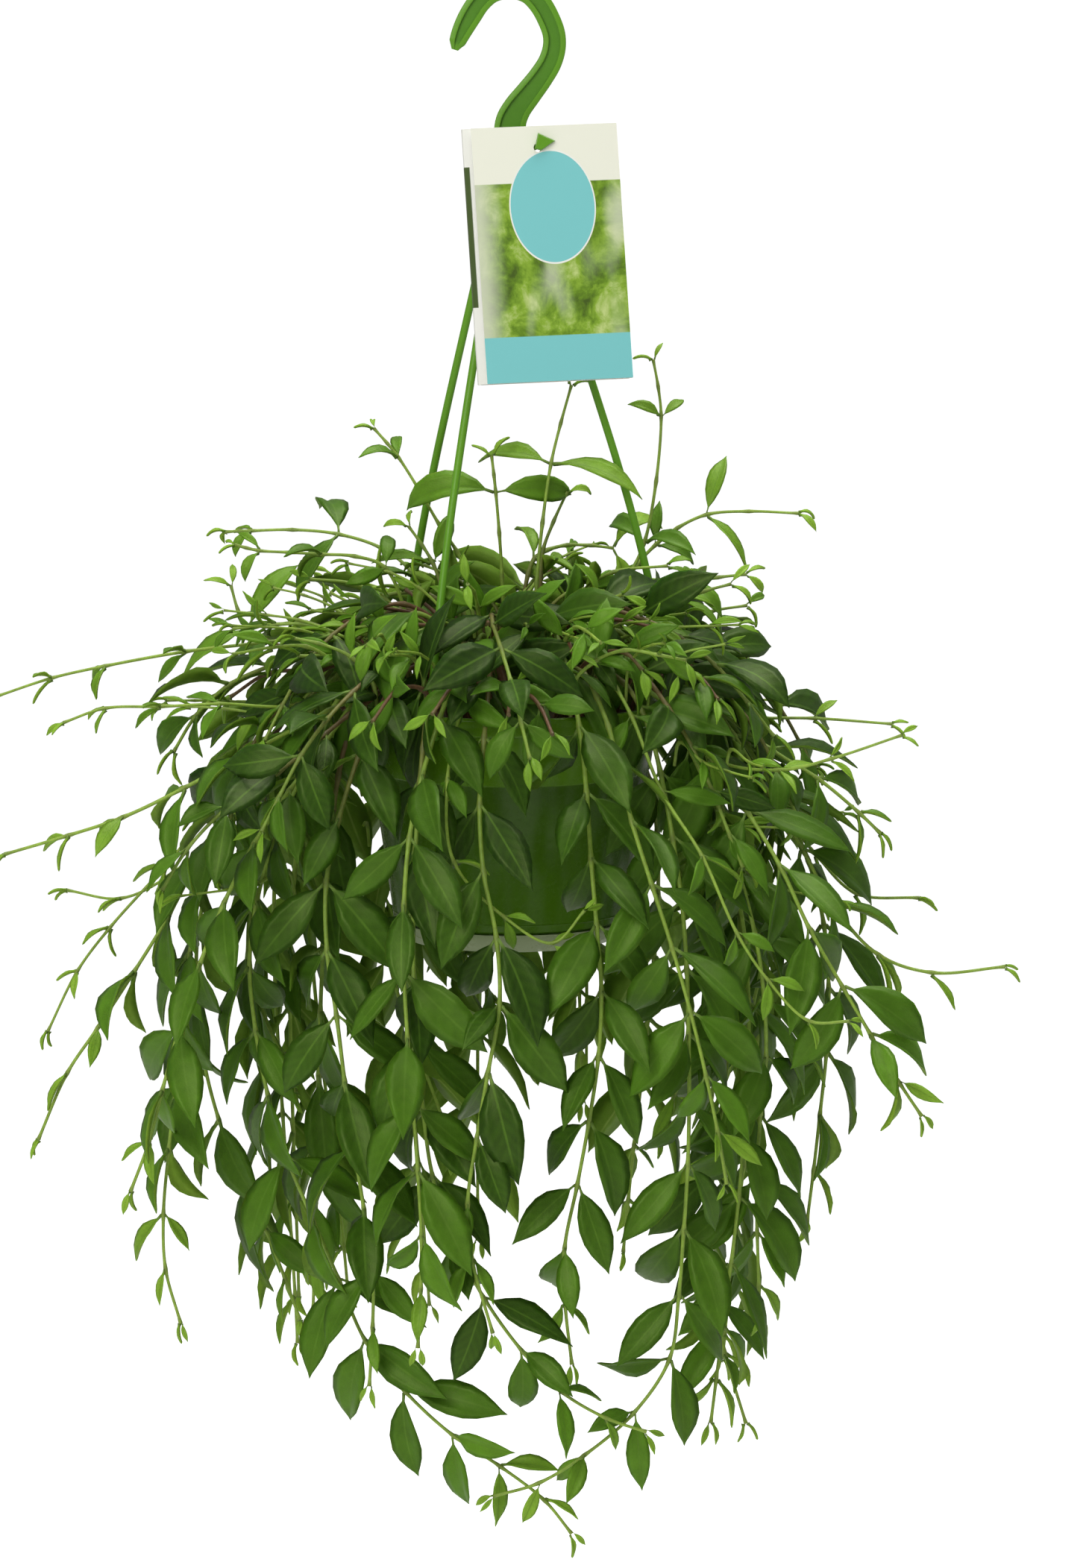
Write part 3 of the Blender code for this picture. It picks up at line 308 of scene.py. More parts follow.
def wall_radius(height):
    """The pot's outer radius at a height, on its tapering wall."""
    return WALL_TOP_RADIUS + (POT_BASE_RADIUS + 3 - WALL_TOP_RADIUS) * (RIM_TOP - height) / POT_HEIGHT


def card_place():
    """Where the card's own axes lie: x across, z up, y front to back, origin at its middle."""
    yaw = Matrix.Rotation(math.radians(CARD_YAW), 4, "Z")
    pitch = Matrix.Rotation(-math.radians(CARD_PITCH), 4, "X")
    lean = Matrix.Rotation(-math.radians(CARD_LEAN), 4, "Y")
    return Matrix.Translation(CARD_CENTRE) @ yaw @ pitch @ lean


def card_hole():
    """The middle of the card's tie hole."""
    return card_place() @ Vector((CARD_HOLE_SIDE, 0, CARD_HEIGHT / 2 - CARD_HOLE_DROP))


# The hook's middle line (x, z) and its width there, from the tip over the top to the hub.
HOOK_LINE = [
    ((-26.7, -24.4), 6.0), ((-25.5, -20.8), 8.0), ((-23.0, -15.0), 9.8), ((-19.2, -8.0), 11.0),
    ((-14.6, -1.2), 11.0), ((-9.0, 3.6), 11.0), ((-2.5, 5.5), 11.0), ((2.5, 5.5), 11.0),
    ((9.2, 3.2), 11.0), ((14.6, -2.2), 11.0), ((18.8, -9.6), 11.0), ((21.4, -17.0), 11.0),
    ((21.5, -23.5), 11.2), ((19.4, -30.5), 11.5), ((14.8, -38.0), 12.0), ((9.0, -45.6), 12.8),
    ((3.4, -53.0), 13.8), ((0.6, -59.0), 15.0), ((0.0, -64.5), 15.6), ((0.3, -72.0), 15.6),
]


def full_routes():
    """Every vine's kind, its points from root to tip, and a shoot's leaf lengths."""
    chance = random.Random(SEED)
    routes = [(kind, list(points)) for kind, points in ROUTES]
    for i in range(CROWN_COUNT):
        azimuth = 360 * (i + 0.3) / CROWN_COUNT
        points = [polar(radius, azimuth + turn, height) for radius, turn, height in CROWN_POINTS]
        routes.append(("crown", points))
    for i in range(BACK_COUNT):
        azimuth = BACK_START + BACK_SPREAD * i / (BACK_COUNT - 1)
        points = [polar(112, azimuth, -364), polar(chance.uniform(126, 142), azimuth, -430),
                  polar(chance.uniform(100, 136), azimuth + chance.uniform(-8, 8), -chance.uniform(540, 690))]
        routes.append(("trail", points))
    whole = []
    for i, (kind, points) in enumerate(routes):
        first = Vector(points[0])
        azimuth = math.degrees(math.atan2(first.y, first.x))
        reach = Vector((first.x, first.y)).length
        trailing = kind not in ("crown", "shoot")
        root_radius = ROOT_RADII[i % len(ROOT_RADII)] if trailing else min(40, reach * 0.7)
        start = [polar(root_radius, azimuth + 7 * (i % 3 - 1), SOIL_TOP + GAP)]
        if trailing:
            crest = RIM_TOP + 20 + (58 - root_radius) * 0.7
            start.append(polar(0.5 * root_radius + 38, azimuth, crest))
            if reach > 100 and first.z < crest - 16:
                start.append(polar(94, azimuth, RIM_TOP + 6))
        lengths = [p[3] for p in points] if kind == "shoot" else []
        whole.append((kind, start + [Vector(p[:3]) for p in points], lengths))
    return whole


def keep_out(p):
    """How far a stem's point must move to clear the pot, arms, card and hub."""
    push = Vector()
    radius = Vector((p.x, p.y)).length
    outward = Vector((p.x, p.y, 0)).normalized() if radius > 1 else Vector((1, 0, 0))
    if p.z < RIM_TOP - 10:
        if radius > 60 or p.z < SOIL_TOP - 2:
            push += outward * max(0, wall_radius(p.z) + WALL_SPACING - radius)
    else:
        rim = outward * 74 + UP * (RIM_TOP - 4)
        away = p - rim
        if away.length < RIM_SPACING:
            push += away.normalized() * (RIM_SPACING - away.length)
        if radius < 66:
            push += UP * max(0, SOIL_TOP + 4 - p.z)
    for azimuth in ARM_AZIMUTHS.values():
        line = arm_line(azimuth)
        at = min(8, max(0, int(9 * (line[0].z - p.z) / (line[0].z - line[-1].z))))
        if line[-1].z - 12 < p.z < line[0].z + 4:
            near, _ = intersect_point_line(p, line[at], line[at + 1])
            away = p - near
            least = 6.0 if p.z > RIM_TOP + 6 else 9.0
            if away.length < least:
                push += away.normalized() * (least - away.length)
    local = card_place().inverted() @ p
    over_card = abs(local.x) < CARD_WIDTH / 2 + 7 and abs(local.z) < CARD_HEIGHT / 2 + 5
    if over_card and -6 < local.y < CARD_SPACING:
        push += Vector((0, CARD_SPACING - local.y, 0))
    return push


def shoot_joints(points, lengths):
    """Joints at a shoot's own points with their leaf lengths, and a bare one before each."""
    path = smooth_path(points, PATH_STEP)
    at = [min(range(len(path)), key=lambda i: (path[i] - p).length) for p in points]
    joints, leafy = [path[0]], [0]
    for low, high, length in zip(at, at[1:], lengths):
        joints += [path[(low + high) // 2].copy(), path[high].copy()]
        leafy += [0, length]
    return joints, leafy


def stem_joints(kind, points, lengths):
    """Points along a stem's route, and which of them bear leaves; the arch over the rim has more."""
    if lengths:
        return shoot_joints(points, lengths)
    spacing = KINDS[kind][1]
    arched = kind != "crown"
    path = smooth_path(points, PATH_STEP)
    total = sum((b - a).length for a, b in zip(path, path[1:]))
    joints, leafy, since, run = [path[0]], [False], 0.0, 0.0
    for a, b in zip(path, path[1:]):
        run += (b - a).length
        since += (b - a).length
        want = ARCH_SPACING if arched and run < ARCH_LENGTH else spacing
        if total - run < 50:
            want = min(want, 26)
        if since >= want and total - run > 12:
            joints.append(b.copy())
            leafy.append(run > ARCH_LENGTH or not arched or len(joints) % 2 == 1)
            since = 0.0
    return joints + [path[-1]], leafy + [True]


def relax(stems):
    """Moves the joints until no two stems, and no stem and fixed piece, run through each other."""
    for _ in range(RELAX_ROUNDS):
        samples = []
        for s, joints in enumerate(stems):
            for j in range(len(joints) - 1):
                a, b = joints[j], joints[j + 1]
                count = max(1, round((b - a).length / SAMPLE_STEP))
                for k in range(count):
                    samples.append((s, j, k / count, a.lerp(b, k / count)))
        tree = KDTree(len(samples))
        for i, sample in enumerate(samples):
            tree.insert(sample[3], i)
        tree.balance()
        moves = [[Vector() for _ in joints] for joints in stems]
        for i, (s, j, t, p) in enumerate(samples):
            root = Vector((-p.x, -p.y, 0))
            push = keep_out(p) if j or t else root * max(0, 1 - ROOT_LIMIT / math.hypot(p.x, p.y))
            for q, other, distance in tree.find_range(p, STEM_SPACING):
                if samples[other][0] != s:
                    away = p - q if distance > 1e-6 else Vector((1, 0, 0))
                    push += away.normalized() * (STEM_SPACING - distance) * 0.5
            if push.length > 0:
                push *= min(1.0, 6.0 / push.length)
                for joint, share in ((j, 1 - t), (j + 1, t)):
                    step = push * share
                    if step.length > moves[s][joint].length:
                        moves[s][joint] = step
        for joints, steps in zip(stems, moves):
            steps[0].z = 0
            for j, step in enumerate(steps):
                joints[j] += step * 0.7


class Leaf:
    """One leaf: where it leaves its stem, which way it runs and faces, and its size."""

    def __init__(self, base, along, face, length, width, curl):
        self.base, self.length, self.width, self.curl = base, length, width, curl
        self.along = along.normalized()
        self.face = (face - self.along * face.dot(self.along)).normalized()

    def frame(self, part):
        """The middle line's point, its face and its side direction, part of the way along."""
        bend = math.radians(self.curl)
        start = -LEAF_KICK * bend
        end = start + bend * part
        run = self.length / bend
        forward = run * (math.sin(end) - math.sin(start))
        sink = run * (math.cos(start) - math.cos(end))
        point = self.base + self.along * forward - self.face * sink
        face = self.face * math.cos(end) + self.along * math.sin(end)
        side = self.face.cross(self.along)
        return point, face, side

    def section(self, part, half_width):
        """A fattened cross-section of the blade: left edge, keel, right edge and top."""
        point, face, side = self.frame(part)
        rise = face * (half_width * 0.14)
        under = face * (0.5 + half_width * 0.07 + LEAF_CLEARANCE)
        left = point - side * (half_width + LEAF_CLEARANCE) + rise
        right = point + side * (half_width + LEAF_CLEARANCE) + rise
        return [left, point - under, right, point + rise + face * LEAF_CLEARANCE]

    def stations(self):
        """Where the blade's cross-sections are, as a part of its length, and their half widths."""
        if self.length < TWO_STATION_LENGTH:
            return [(0.44, self.width * 0.5)]
        return [(0.34, self.width * 0.48), (0.66, self.width * 0.42)]

    def probe(self, start):
        """A fattened copy, from a distance off the stem, for finding what the leaf would hit."""
        rows = [(min(0.3, start / self.length), 1.3)] + self.stations() + [(1.0 + 0.6 / self.length, 0.1)]
        return swept([self.section(part, half) for part, half in rows])


class Space:
    """What is already there: the fixed pieces, each vine's stem, and every leaf placed so far."""

    def __init__(self):
        self.shapes, self.leaves = [], []

    def add(self, points, faces, vine=None):
        self.shapes.append((vine, BVHTree.FromPolygons(points, faces)))

    def try_leaf(self, leaf, vine):
        """Keeps the leaf if it hits nothing; its first few millimetres may meet its own stem."""
        points, faces = leaf.probe(0.4)
        low = Vector([min(p[k] for p in points) for k in range(3)])
        high = Vector([max(p[k] for p in points) for k in range(3)])
        whole, blade = BVHTree.FromPolygons(points, faces), BVHTree.FromPolygons(*leaf.probe(3.0))
        for low2, high2, vine2, whole2, blade2 in self.leaves:
            if (low.x < high2.x and low2.x < high.x and low.y < high2.y and low2.y < high.y
                    and low.z < high2.z and low2.z < high.z):
                if blade.overlap(blade2) if vine == vine2 else whole.overlap(whole2):
                    return False
        if any((blade if vine == vine2 else whole).overlap(other) for vine2, other in self.shapes):
            return False
        self.leaves.append((low, high, vine, whole, blade))
        return True


def guards():
    """Plain closed shapes that cover the pot, arms, hub and card, for leaves to stay out of."""
    shapes = [turned([(0, SOIL_TOP + 1), (58, SOIL_TOP + 1), (70, RIM_TOP + 1), (78.5, RIM_TOP + 1),
                      (78.5, RIM_TOP - 11), (74, RIM_TOP - 12), (wall_radius(POT_BASE) + 1.5, POT_BASE + 4),
                      (60, POT_BASE + 3), (54, POT_BASE - 9), (0, POT_BASE - 9)], 24)]
    for azimuth in ARM_AZIMUTHS.values():
        shapes.append(round_tube(arm_line(azimuth), ARM_RADIUS + 1.0, 6))
        claw = polar(RIM_RADIUS + 1, azimuth, RIM_TOP - 13)
        shapes.append(round_tube([claw, claw + UP * 17], 6.0, 8, Vector((1, 0, 0))))
    shapes.append(round_tube([Vector((0, 0, -56)), Vector((0, 0, -76))], 16, 10, Vector((1, 0, 0))))
    place = card_place()
    half, tall = CARD_WIDTH / 2 + 5, CARD_HEIGHT / 2 + 1
    box = [[place @ Vector((x, y, z)) for x, y in ((-half, -5), (half, -5), (half, 7), (-half, 7))]
           for z in (-tall, tall)]
    shapes.append(swept(box))
    return shapes


def joint_frame(joints, i, roll, kind):
    """The stem's direction at a joint, its side direction, and where its leaves face."""
    before, after = joints[max(i - 1, 0)], joints[min(i + 1, len(joints) - 1)]
    along = ((after - joints[i]).normalized() + (joints[i] - before).normalized()).normalized()
    out = Vector((joints[i].x, joints[i].y, 0))
    out = out.normalized() if out.length > 1 and kind != "shoot" else FRONT * 0.3
    facing = (out * 0.75 + FRONT * (0.2 * (1 - out.y)) + UP * 0.6).normalized()
    over = facing - along * facing.dot(along)
    over = over.normalized() if over.length > 0.05 else along.orthogonal().normalized()
    over = Matrix.Rotation(roll, 3, along) @ over
    return along, along.cross(over), facing


def age_scale(kind, left):
    """How full-grown a pair of leaves is, with so many younger pairs beyond it."""
    return YOUNG[kind][min(left, len(YOUNG[kind]) - 1)]


def next_roll(kind, pairs, chance):
    """How far the next pair is turned round the stem, crosswise to the last pair that it bears."""
    crossed = sum(pair is not None for pair in pairs) % 2
    return math.radians(chance.uniform(-LEAF_ROLL, LEAF_ROLL) + CROSSING[kind] * crossed)


def grow():
    """All vines, as (kind, joints, leaf pairs) with no pair at a bare joint, and what is now there."""
    routes = full_routes()
    stems, leafy = zip(*(stem_joints(*route) for route in routes))
    relax(stems)
    space = Space()
    for shape in guards():
        space.add(*shape)
    for vine, ((kind, *_), joints) in enumerate(zip(routes, stems)):
        space.add(*round_tube(joints, KINDS[kind][0] + LEAF_CLEARANCE, 6), vine)
    vines = []
    for vine, ((kind, *_), joints, bears) in enumerate(zip(routes, stems, leafy)):
        radius, chance = KINDS[kind][0], random.Random(SEED + vine)
        pairs = [None]
        for i in range(1, len(joints)):
            roll = next_roll(kind, pairs, chance)
            if not bears[i]:
                pairs.append(None)
                continue
            along, side, facing = joint_frame(joints, i, roll, kind)
            full = KINDS[kind][2]
            grown = bears[i] / full if kind == "shoot" else age_scale(kind, sum(bears[i + 1:]))
            pair = []
            for sign in (1, -1):
                size = grown * chance.uniform(*LEAF_SIZES)
                base = joints[i] + side * (sign * radius * LEAF_SEAT)
                draws = [chance.uniform(-1, 1) for _ in range(4)]
                pair.append(place_leaf(space, vine, base, along, side * sign, facing, size, kind, draws))
            pairs.append(pair)
        vines.append((kind, joints, pairs))
    return vines, space


# How a leaf is turned, tried in order until it is clear of everything: fork, lift, twist, size
LEAF_TRIES = [(0, 0, 0, 1.0), (-16, 0, 0, 1.0), (16, 0, 0, 1.0), (0, 18, 0, 1.0), (0, -18, 0, 1.0),
              (-14, 16, 20, 0.95), (14, 16, -20, 0.95), (-14, -16, -20, 0.95), (14, -16, 20, 0.95),
              (0, 34, 30, 0.9), (0, -34, -30, 0.9), (-30, 10, 40, 0.85), (28, 10, -40, 0.85),
              (0, 0, 0, 0.75), (-24, 24, 0, 0.75), (24, -24, 0, 0.75), (0, 45, 0, 0.7),
              (-20, 0, 60, 0.6), (20, 20, -60, 0.6), (0, 0, 0, 0.5), (-30, 30, 0, 0.45), (0, 50, 40, 0.4)]


def place_leaf(space, vine, base, along, side, facing, size, kind, draws):
    """The first turn of the leaf that hits nothing, or None where there is no room for it."""
    _, _, length, width, fork, droop, curl = KINDS[kind]
    for fork_more, lift, twist, shrink in LEAF_TRIES:
        # Young leaves stand close together
        spread = (fork + fork_more) * (0.4 + 0.6 * min(1.0, size))
        angle = math.radians(spread + draws[0] * 10)
        way = side * math.sin(angle) + along * math.cos(angle) - UP * droop
        way = (way.normalized() + facing * math.sin(math.radians(lift + draws[1] * 12))).normalized()
        face = Matrix.Rotation(math.radians(twist + draws[2] * 22), 3, way) @ (
            facing - way * facing.dot(way)).normalized()
        leaf = Leaf(base, way, face, length * size * shrink, width * size * shrink * (1 + draws[3] * 0.1),
                    curl * (1 + draws[3] * 0.35))
        if space.try_leaf(leaf, vine):
            return leaf
    return None


# ------------------------------------------------------------ writing node trees

class Graph:
    """Adds nodes to a shader or geometry tree and joins them."""

    def __init__(self, tree):
        self.tree = tree

    def add(self, kind, values=None, **settings):
        """A new node; values go to its inputs, as numbers, colours or sockets to join."""
        node = self.tree.nodes.new(kind)
        for key, value in settings.items():
            setattr(node, key, value)
        for key, value in (values or {}).items():
            self.feed(node.inputs[key], value)
        return node

    def feed(self, socket, value):
        if isinstance(value, bpy.types.NodeSocket):
            self.tree.links.new(value, socket)
        elif isinstance(value, tuple) and len(value) == 3 and len(socket.default_value) == 4:
            socket.default_value = (*value, 1.0)
        else:
            socket.default_value = value

    def math(self, operation, a, b=0.0, c=0.0):
        return self.add("ShaderNodeMath", {0: a, 1: b, 2: c}, operation=operation).outputs[0]

    def vector(self, operation, a, b=None, scale=None):
        node = self.add("ShaderNodeVectorMath", {0: a}, operation=operation)
        if b is not None:
            self.feed(node.inputs[1], b)
        if scale is not None:
            self.feed(node.inputs["Scale"], scale)
        return node.outputs["Value" if operation == "LENGTH" else "Vector"]

    def times(self, a, scale):
        return self.vector("SCALE", a, scale=scale)

    def plus(self, first, *rest):
        for other in rest:
            first = self.vector("ADD", first, other)
        return first

    def mix(self, share, a, b, blend="MIX"):
        node = self.add("ShaderNodeMix", data_type="RGBA", blend_type=blend)
        self.feed(node.inputs["Factor"], share)
        self.feed(node.inputs[6], a)
        self.feed(node.inputs[7], b)
        return node.outputs[2]

    def ramp(self, value, *stops):
        """A colour ramp; each stop is (place, colour)."""
        node = self.add("ShaderNodeValToRGB", {0: value})
        points = node.color_ramp.elements
        while len(points) < len(stops):
            points.new(1.0)
        for point, (place, colour) in zip(points, stops):
            point.position = place
            point.color = (*colour, 1.0)
        return node.outputs["Color"]

    def span(self, value, low, high, out_low=0.0, out_high=1.0, smooth=True):
        """The value's way from low to high, as a way from out_low to out_high, kept within it."""
        node = self.add("ShaderNodeMapRange", {0: value, 1: low, 2: high, 3: out_low, 4: out_high},
                        interpolation_type="SMOOTHSTEP" if smooth else "LINEAR")
        return node.outputs[0]

    def noise(self, where, scale, detail=3.0, roughness=0.55, colour=False):
        node = self.add("ShaderNodeTexNoise", {"Vector": where, "Scale": scale, "Detail": detail,
                                               "Roughness": roughness})
        return node.outputs["Color" if colour else "Fac"]

    def where(self):
        """The place on the piece, in the frame's metres."""
        return self.add("ShaderNodeTexCoord").outputs["Object"]

    def trait(self, name):
        """What a finish reads from the mesh: a number stored on its points or faces."""
        return self.add("ShaderNodeAttribute", attribute_name=name).outputs["Fac"]

    def named(self, name, kind="FLOAT"):
        """What a geometry tree reads from its points."""
        node = self.add("GeometryNodeInputNamedAttribute", {"Name": name}, data_type=kind)
        return node.outputs["Attribute"]


def geometry_tree(name, *sockets):
    """A geometry tree with a geometry input and output and the given (name, type) inputs."""
    tree = bpy.data.node_groups.new(name, "GeometryNodeTree")
    tree.interface.new_socket("Geometry", in_out="INPUT", socket_type="NodeSocketGeometry")
    for socket, kind in sockets:
        tree.interface.new_socket(socket, in_out="INPUT", socket_type=kind)
    tree.interface.new_socket("Geometry", in_out="OUTPUT", socket_type="NodeSocketGeometry")
    graph = Graph(tree)
    return graph, graph.add("NodeGroupInput").outputs, graph.add("NodeGroupOutput")


def close_tree(graph, geometry, finish, output):
    """Every tree ends the same way: instances made real, and the material put on."""
    real = graph.add("GeometryNodeRealizeInstances", {0: geometry}).outputs[0]
    smooth = graph.add("GeometryNodeSetShadeSmooth", {"Geometry": real}).outputs[0]
    painted = graph.add("GeometryNodeSetMaterial", {"Geometry": smooth, "Material": finish}).outputs[0]
    graph.tree.links.new(painted, output.inputs[0])
    return graph.tree


def placed(name, data):
    """A new object of the scene that holds a mesh, a lamp or a camera."""
    made = bpy.data.objects.new(name, data)
    bpy.context.scene.collection.objects.link(made)
    return made


def as_mesh(piece):
    """The piece's mesh as its modifiers leave it."""
    return bpy.data.meshes.new_from_object(piece.evaluated_get(bpy.context.evaluated_depsgraph_get()))


def make(name, points, tree, inputs):
    """Runs a tree on a mesh of points and returns the plain mesh object that comes out."""
    holder = placed(f"{name}_carrier", points)
    step = holder.modifiers.new("grow", "NODES")
    step.node_group = tree
    for item in tree.interface.items_tree:
        if item.in_out == "INPUT" and item.name in inputs:
            step[item.identifier] = inputs[item.name]
    holder.update_tag()
    mesh = as_mesh(holder)
    mesh.name = name
    made = placed(name, mesh)
    bpy.data.objects.remove(holder, do_unlink=True)
    return made


def carrier(points, edges=(), **traits):
    """A mesh of bare points in metres, with numbers or vectors stored on each."""
    mesh = bpy.data.meshes.new("carrier")
    mesh.from_pydata(points, edges, [])
    for name, values in traits.items():
        vectors = hasattr(values[0], "__len__")
        store = mesh.attributes.new(name, "FLOAT_VECTOR" if vectors else "FLOAT", "POINT")
        flat = np.array([tuple(v) for v in values] if vectors else values, dtype=np.float32).ravel()
        store.data.foreach_set("vector" if vectors else "value", flat)
    return mesh


# ------------------------------------------------------------------ leaf and stem

# The leaf's outline, over stalk, blade and drawn-out tip: part of the length, share of the widest half
LEAF_OUTLINE = [(0.0, 0.085), (0.045, 0.07), (0.09, 0.10), (0.18, 0.45), (0.31, 0.83), (0.46, 1.0),
                (0.61, 0.95), (0.74, 0.73), (0.85, 0.42), (0.94, 0.14), (1.0, 0.012)]
# Round its cross-section, from edge over the midrib to edge and back underneath: across, lift, thickness
LEAF_SECTION = [(-1.0, 1.0, 0.0), (-0.52, 0.66, 0.5), (0.0, 0.0, 0.35), (0.52, 0.66, 0.5), (1.0, 1.0, 0.0),
                (0.0, 0.0, -0.8)]
UPPER_FACES = 4                  # of the faces round the cross-section; the rest are underneath
LEAF_THICKNESS = 0.0009
LEAF_RIPPLE = 0.07               # height of the waves along the edges, as a share of the half width
STALK_END = 0.10


def leaf_pattern():
    """One leaf as numbers: every corner's part of the length, of the width, lift and thickness."""
    work = bmesh.new()
    layers = {name: work.verts.layers.float.new(name) for name in ("u", "across", "lift", "thick")}
    under = work.faces.layers.float.new("under")
    rows = []
    for u, half in LEAF_OUTLINE:
        blade = min(1.0, max(0.0, (u - 0.5 * STALK_END) / STALK_END))
        row = []
        for v, lift, thick in LEAF_SECTION:
            corner = work.verts.new((u, v, thick * 0.01))
            corner[layers["u"]] = u
            corner[layers["across"]] = v * half
            corner[layers["lift"]] = lift * half * blade
            corner[layers["thick"]] = thick * (1.0 + 0.9 * (1 - blade)) * (0.4 if u > 0.95 else 1.0)
            row.append(corner)
        rows.append(row)
    for low, high in zip(rows, rows[1:]):
        for i in range(len(LEAF_SECTION)):
            j = (i + 1) % len(LEAF_SECTION)
            face = work.faces.new((low[i], high[i], high[j], low[j]))
            face[under] = 1.0 if i >= UPPER_FACES else 0.0
    work.faces.new(rows[0])
    work.faces.new(rows[-1][::-1])
    bmesh.ops.recalc_face_normals(work, faces=work.faces)
    mesh = bpy.data.meshes.new("leaf_pattern")
    work.to_mesh(mesh)
    work.free()
    return placed("leaf_pattern", mesh)


def leaf_tree():
    """Puts the leaf pattern on every point and bends it to that leaf's own size, curl, fold and twist."""
    graph, given, output = geometry_tree(
        "leaves on points", ("Leaf pattern", "NodeSocketObject"), ("Thickness", "NodeSocketFloat"),
        ("Ripple", "NodeSocketFloat"), ("Leaf finish", "NodeSocketMaterial"))
    math_, plus, times = graph.math, graph.plus, graph.times
    pattern = graph.add("GeometryNodeObjectInfo", {"Object": given["Leaf pattern"]},
                        transform_space="ORIGINAL")
    copies = graph.add("GeometryNodeInstanceOnPoints",
                       {"Points": given["Geometry"], "Instance": pattern.outputs["Geometry"]})
    real = graph.add("GeometryNodeRealizeInstances", {0: copies.outputs[0]}).outputs[0]
    u, across, lift, thick = (graph.named(n) for n in ("u", "across", "lift", "thick"))
    length, width, curl, fold, twist, sway, tint = (
        graph.named(n) for n in ("leaf_length", "leaf_width", "curl", "fold", "twist", "sway", "tint"))
    base, along, face, side = (graph.named(n, "FLOAT_VECTOR") for n in ("base", "along", "face", "side"))
    start = math_("MULTIPLY", curl, -LEAF_KICK)
    end = math_("MULTIPLY_ADD", curl, u, start)
    run = math_("DIVIDE", length, curl)
    forward = math_("MULTIPLY", run, math_("SUBTRACT", math_("SINE", end), math_("SINE", start)))
    sink = math_("MULTIPLY", run, math_("SUBTRACT", math_("COSINE", end), math_("COSINE", start)))
    turned_face = plus(times(face, math_("COSINE", end)), times(along, math_("SINE", end)))
    roll = math_("MULTIPLY", twist, u)
    sine, cosine = math_("SINE", roll), math_("COSINE", roll)
    over = plus(times(turned_face, cosine), times(side, math_("MULTIPLY", sine, -1.0)))
    out = plus(times(side, cosine), times(turned_face, sine))
    half = math_("MULTIPLY", width, 0.5)
    sideways = math_("ADD", math_("MULTIPLY", across, half),
                     math_("MULTIPLY", math_("MULTIPLY", sway, length), math_("MULTIPLY", u, u)))
    shift = math_("MULTIPLY", tint, 40.0)        # sets each leaf's waves elsewhere along it
    wave = math_("SINE", math_("MULTIPLY_ADD", u, 11.0, shift))
    ripple = math_("MULTIPLY", math_("MULTIPLY", wave, given["Ripple"]), math_("MULTIPLY", across, half))
    rise = math_("ADD", math_("MULTIPLY", math_("MULTIPLY", lift, fold), half), ripple)
    rise = math_("MULTIPLY_ADD", thick, given["Thickness"], rise)
    place = plus(base, times(along, forward), times(face, sink), times(out, sideways), times(over, rise))
    bent = graph.add("GeometryNodeSetPosition", {"Geometry": real, "Position": place}).outputs[0]
    return close_tree(graph, bent, given["Leaf finish"], output)


def stem_tree():
    """Draws a stem along every line of points, as thick as each point says."""
    graph, given, output = geometry_tree(
        "stems on lines", ("Sides", "NodeSocketInt"), ("Stem finish", "NodeSocketMaterial"))
    line = graph.add("GeometryNodeMeshToCurve", {"Mesh": given["Geometry"]}).outputs[0]
    ring = graph.add("GeometryNodeCurvePrimitiveCircle", {"Resolution": given["Sides"], "Radius": 1.0})
    stem = graph.add("GeometryNodeCurveToMesh", {"Curve": line, "Profile Curve": ring.outputs[0],
                                                 "Scale": graph.named("thick"), "Fill Caps": True}).outputs[0]
    return close_tree(graph, stem, given["Stem finish"], output)


# ---------------------------------------------------------------------- finishes

def new_finish(name):
    """A material with a Principled shader, and the graph to feed it with."""
    made = bpy.data.materials.new(name)
    made.use_nodes = True
    graph = Graph(made.node_tree)
    return made, graph, made.node_tree.nodes["Principled BSDF"]


def shader_group(name, inputs, outputs):
    """An empty shader group; inputs are (name, type, value) and outputs (name, type)."""
    group = bpy.data.node_groups.new(name, "ShaderNodeTree")
    for socket, kind, value in inputs:
        group.interface.new_socket(socket, in_out="INPUT", socket_type=kind).default_value = value
    for socket, kind in outputs:
        group.interface.new_socket(socket, in_out="OUTPUT", socket_type=kind)
    graph = Graph(group)
    return graph, graph.add("NodeGroupInput").outputs, graph.add("NodeGroupOutput").inputs


def mottle_group():
    """Cloudy light and dark patches with a fine grain over them."""
    graph, given, out = shader_group(
        "mottle", [("Patch Size", "NodeSocketFloat", 60.0), ("Grain Size", "NodeSocketFloat", 600.0),
                   ("Dark", "NodeSocketFloat", 0.85), ("Light", "NodeSocketFloat", 1.15),
                   ("Colour", "NodeSocketColor", (1, 1, 1, 1))],
        [("Colour", "NodeSocketColor"), ("Grain", "NodeSocketFloat")])
    where = graph.where()
    patch = graph.noise(where, given["Patch Size"], 3.0)
    grain = graph.noise(where, given["Grain Size"], 2.0)
    both = graph.math("MULTIPLY_ADD", grain, 0.3, graph.math("MULTIPLY", patch, 0.7))
    shade = graph.add("ShaderNodeMapRange", {0: both, 1: 0.35, 2: 0.65, 3: given["Dark"], 4: given["Light"]})
    graph.feed(out["Colour"], graph.times(given["Colour"], shade.outputs[0]))
    graph.feed(out["Grain"], grain)
    return graph.tree


def use_group(graph, group, **values):
    """A shader group placed in a material with its own values."""
    node = graph.add("ShaderNodeGroup")
    node.node_tree = group
    for key, value in values.items():
        graph.feed(node.inputs[key.replace("_", " ")], value)
    return node.outputs


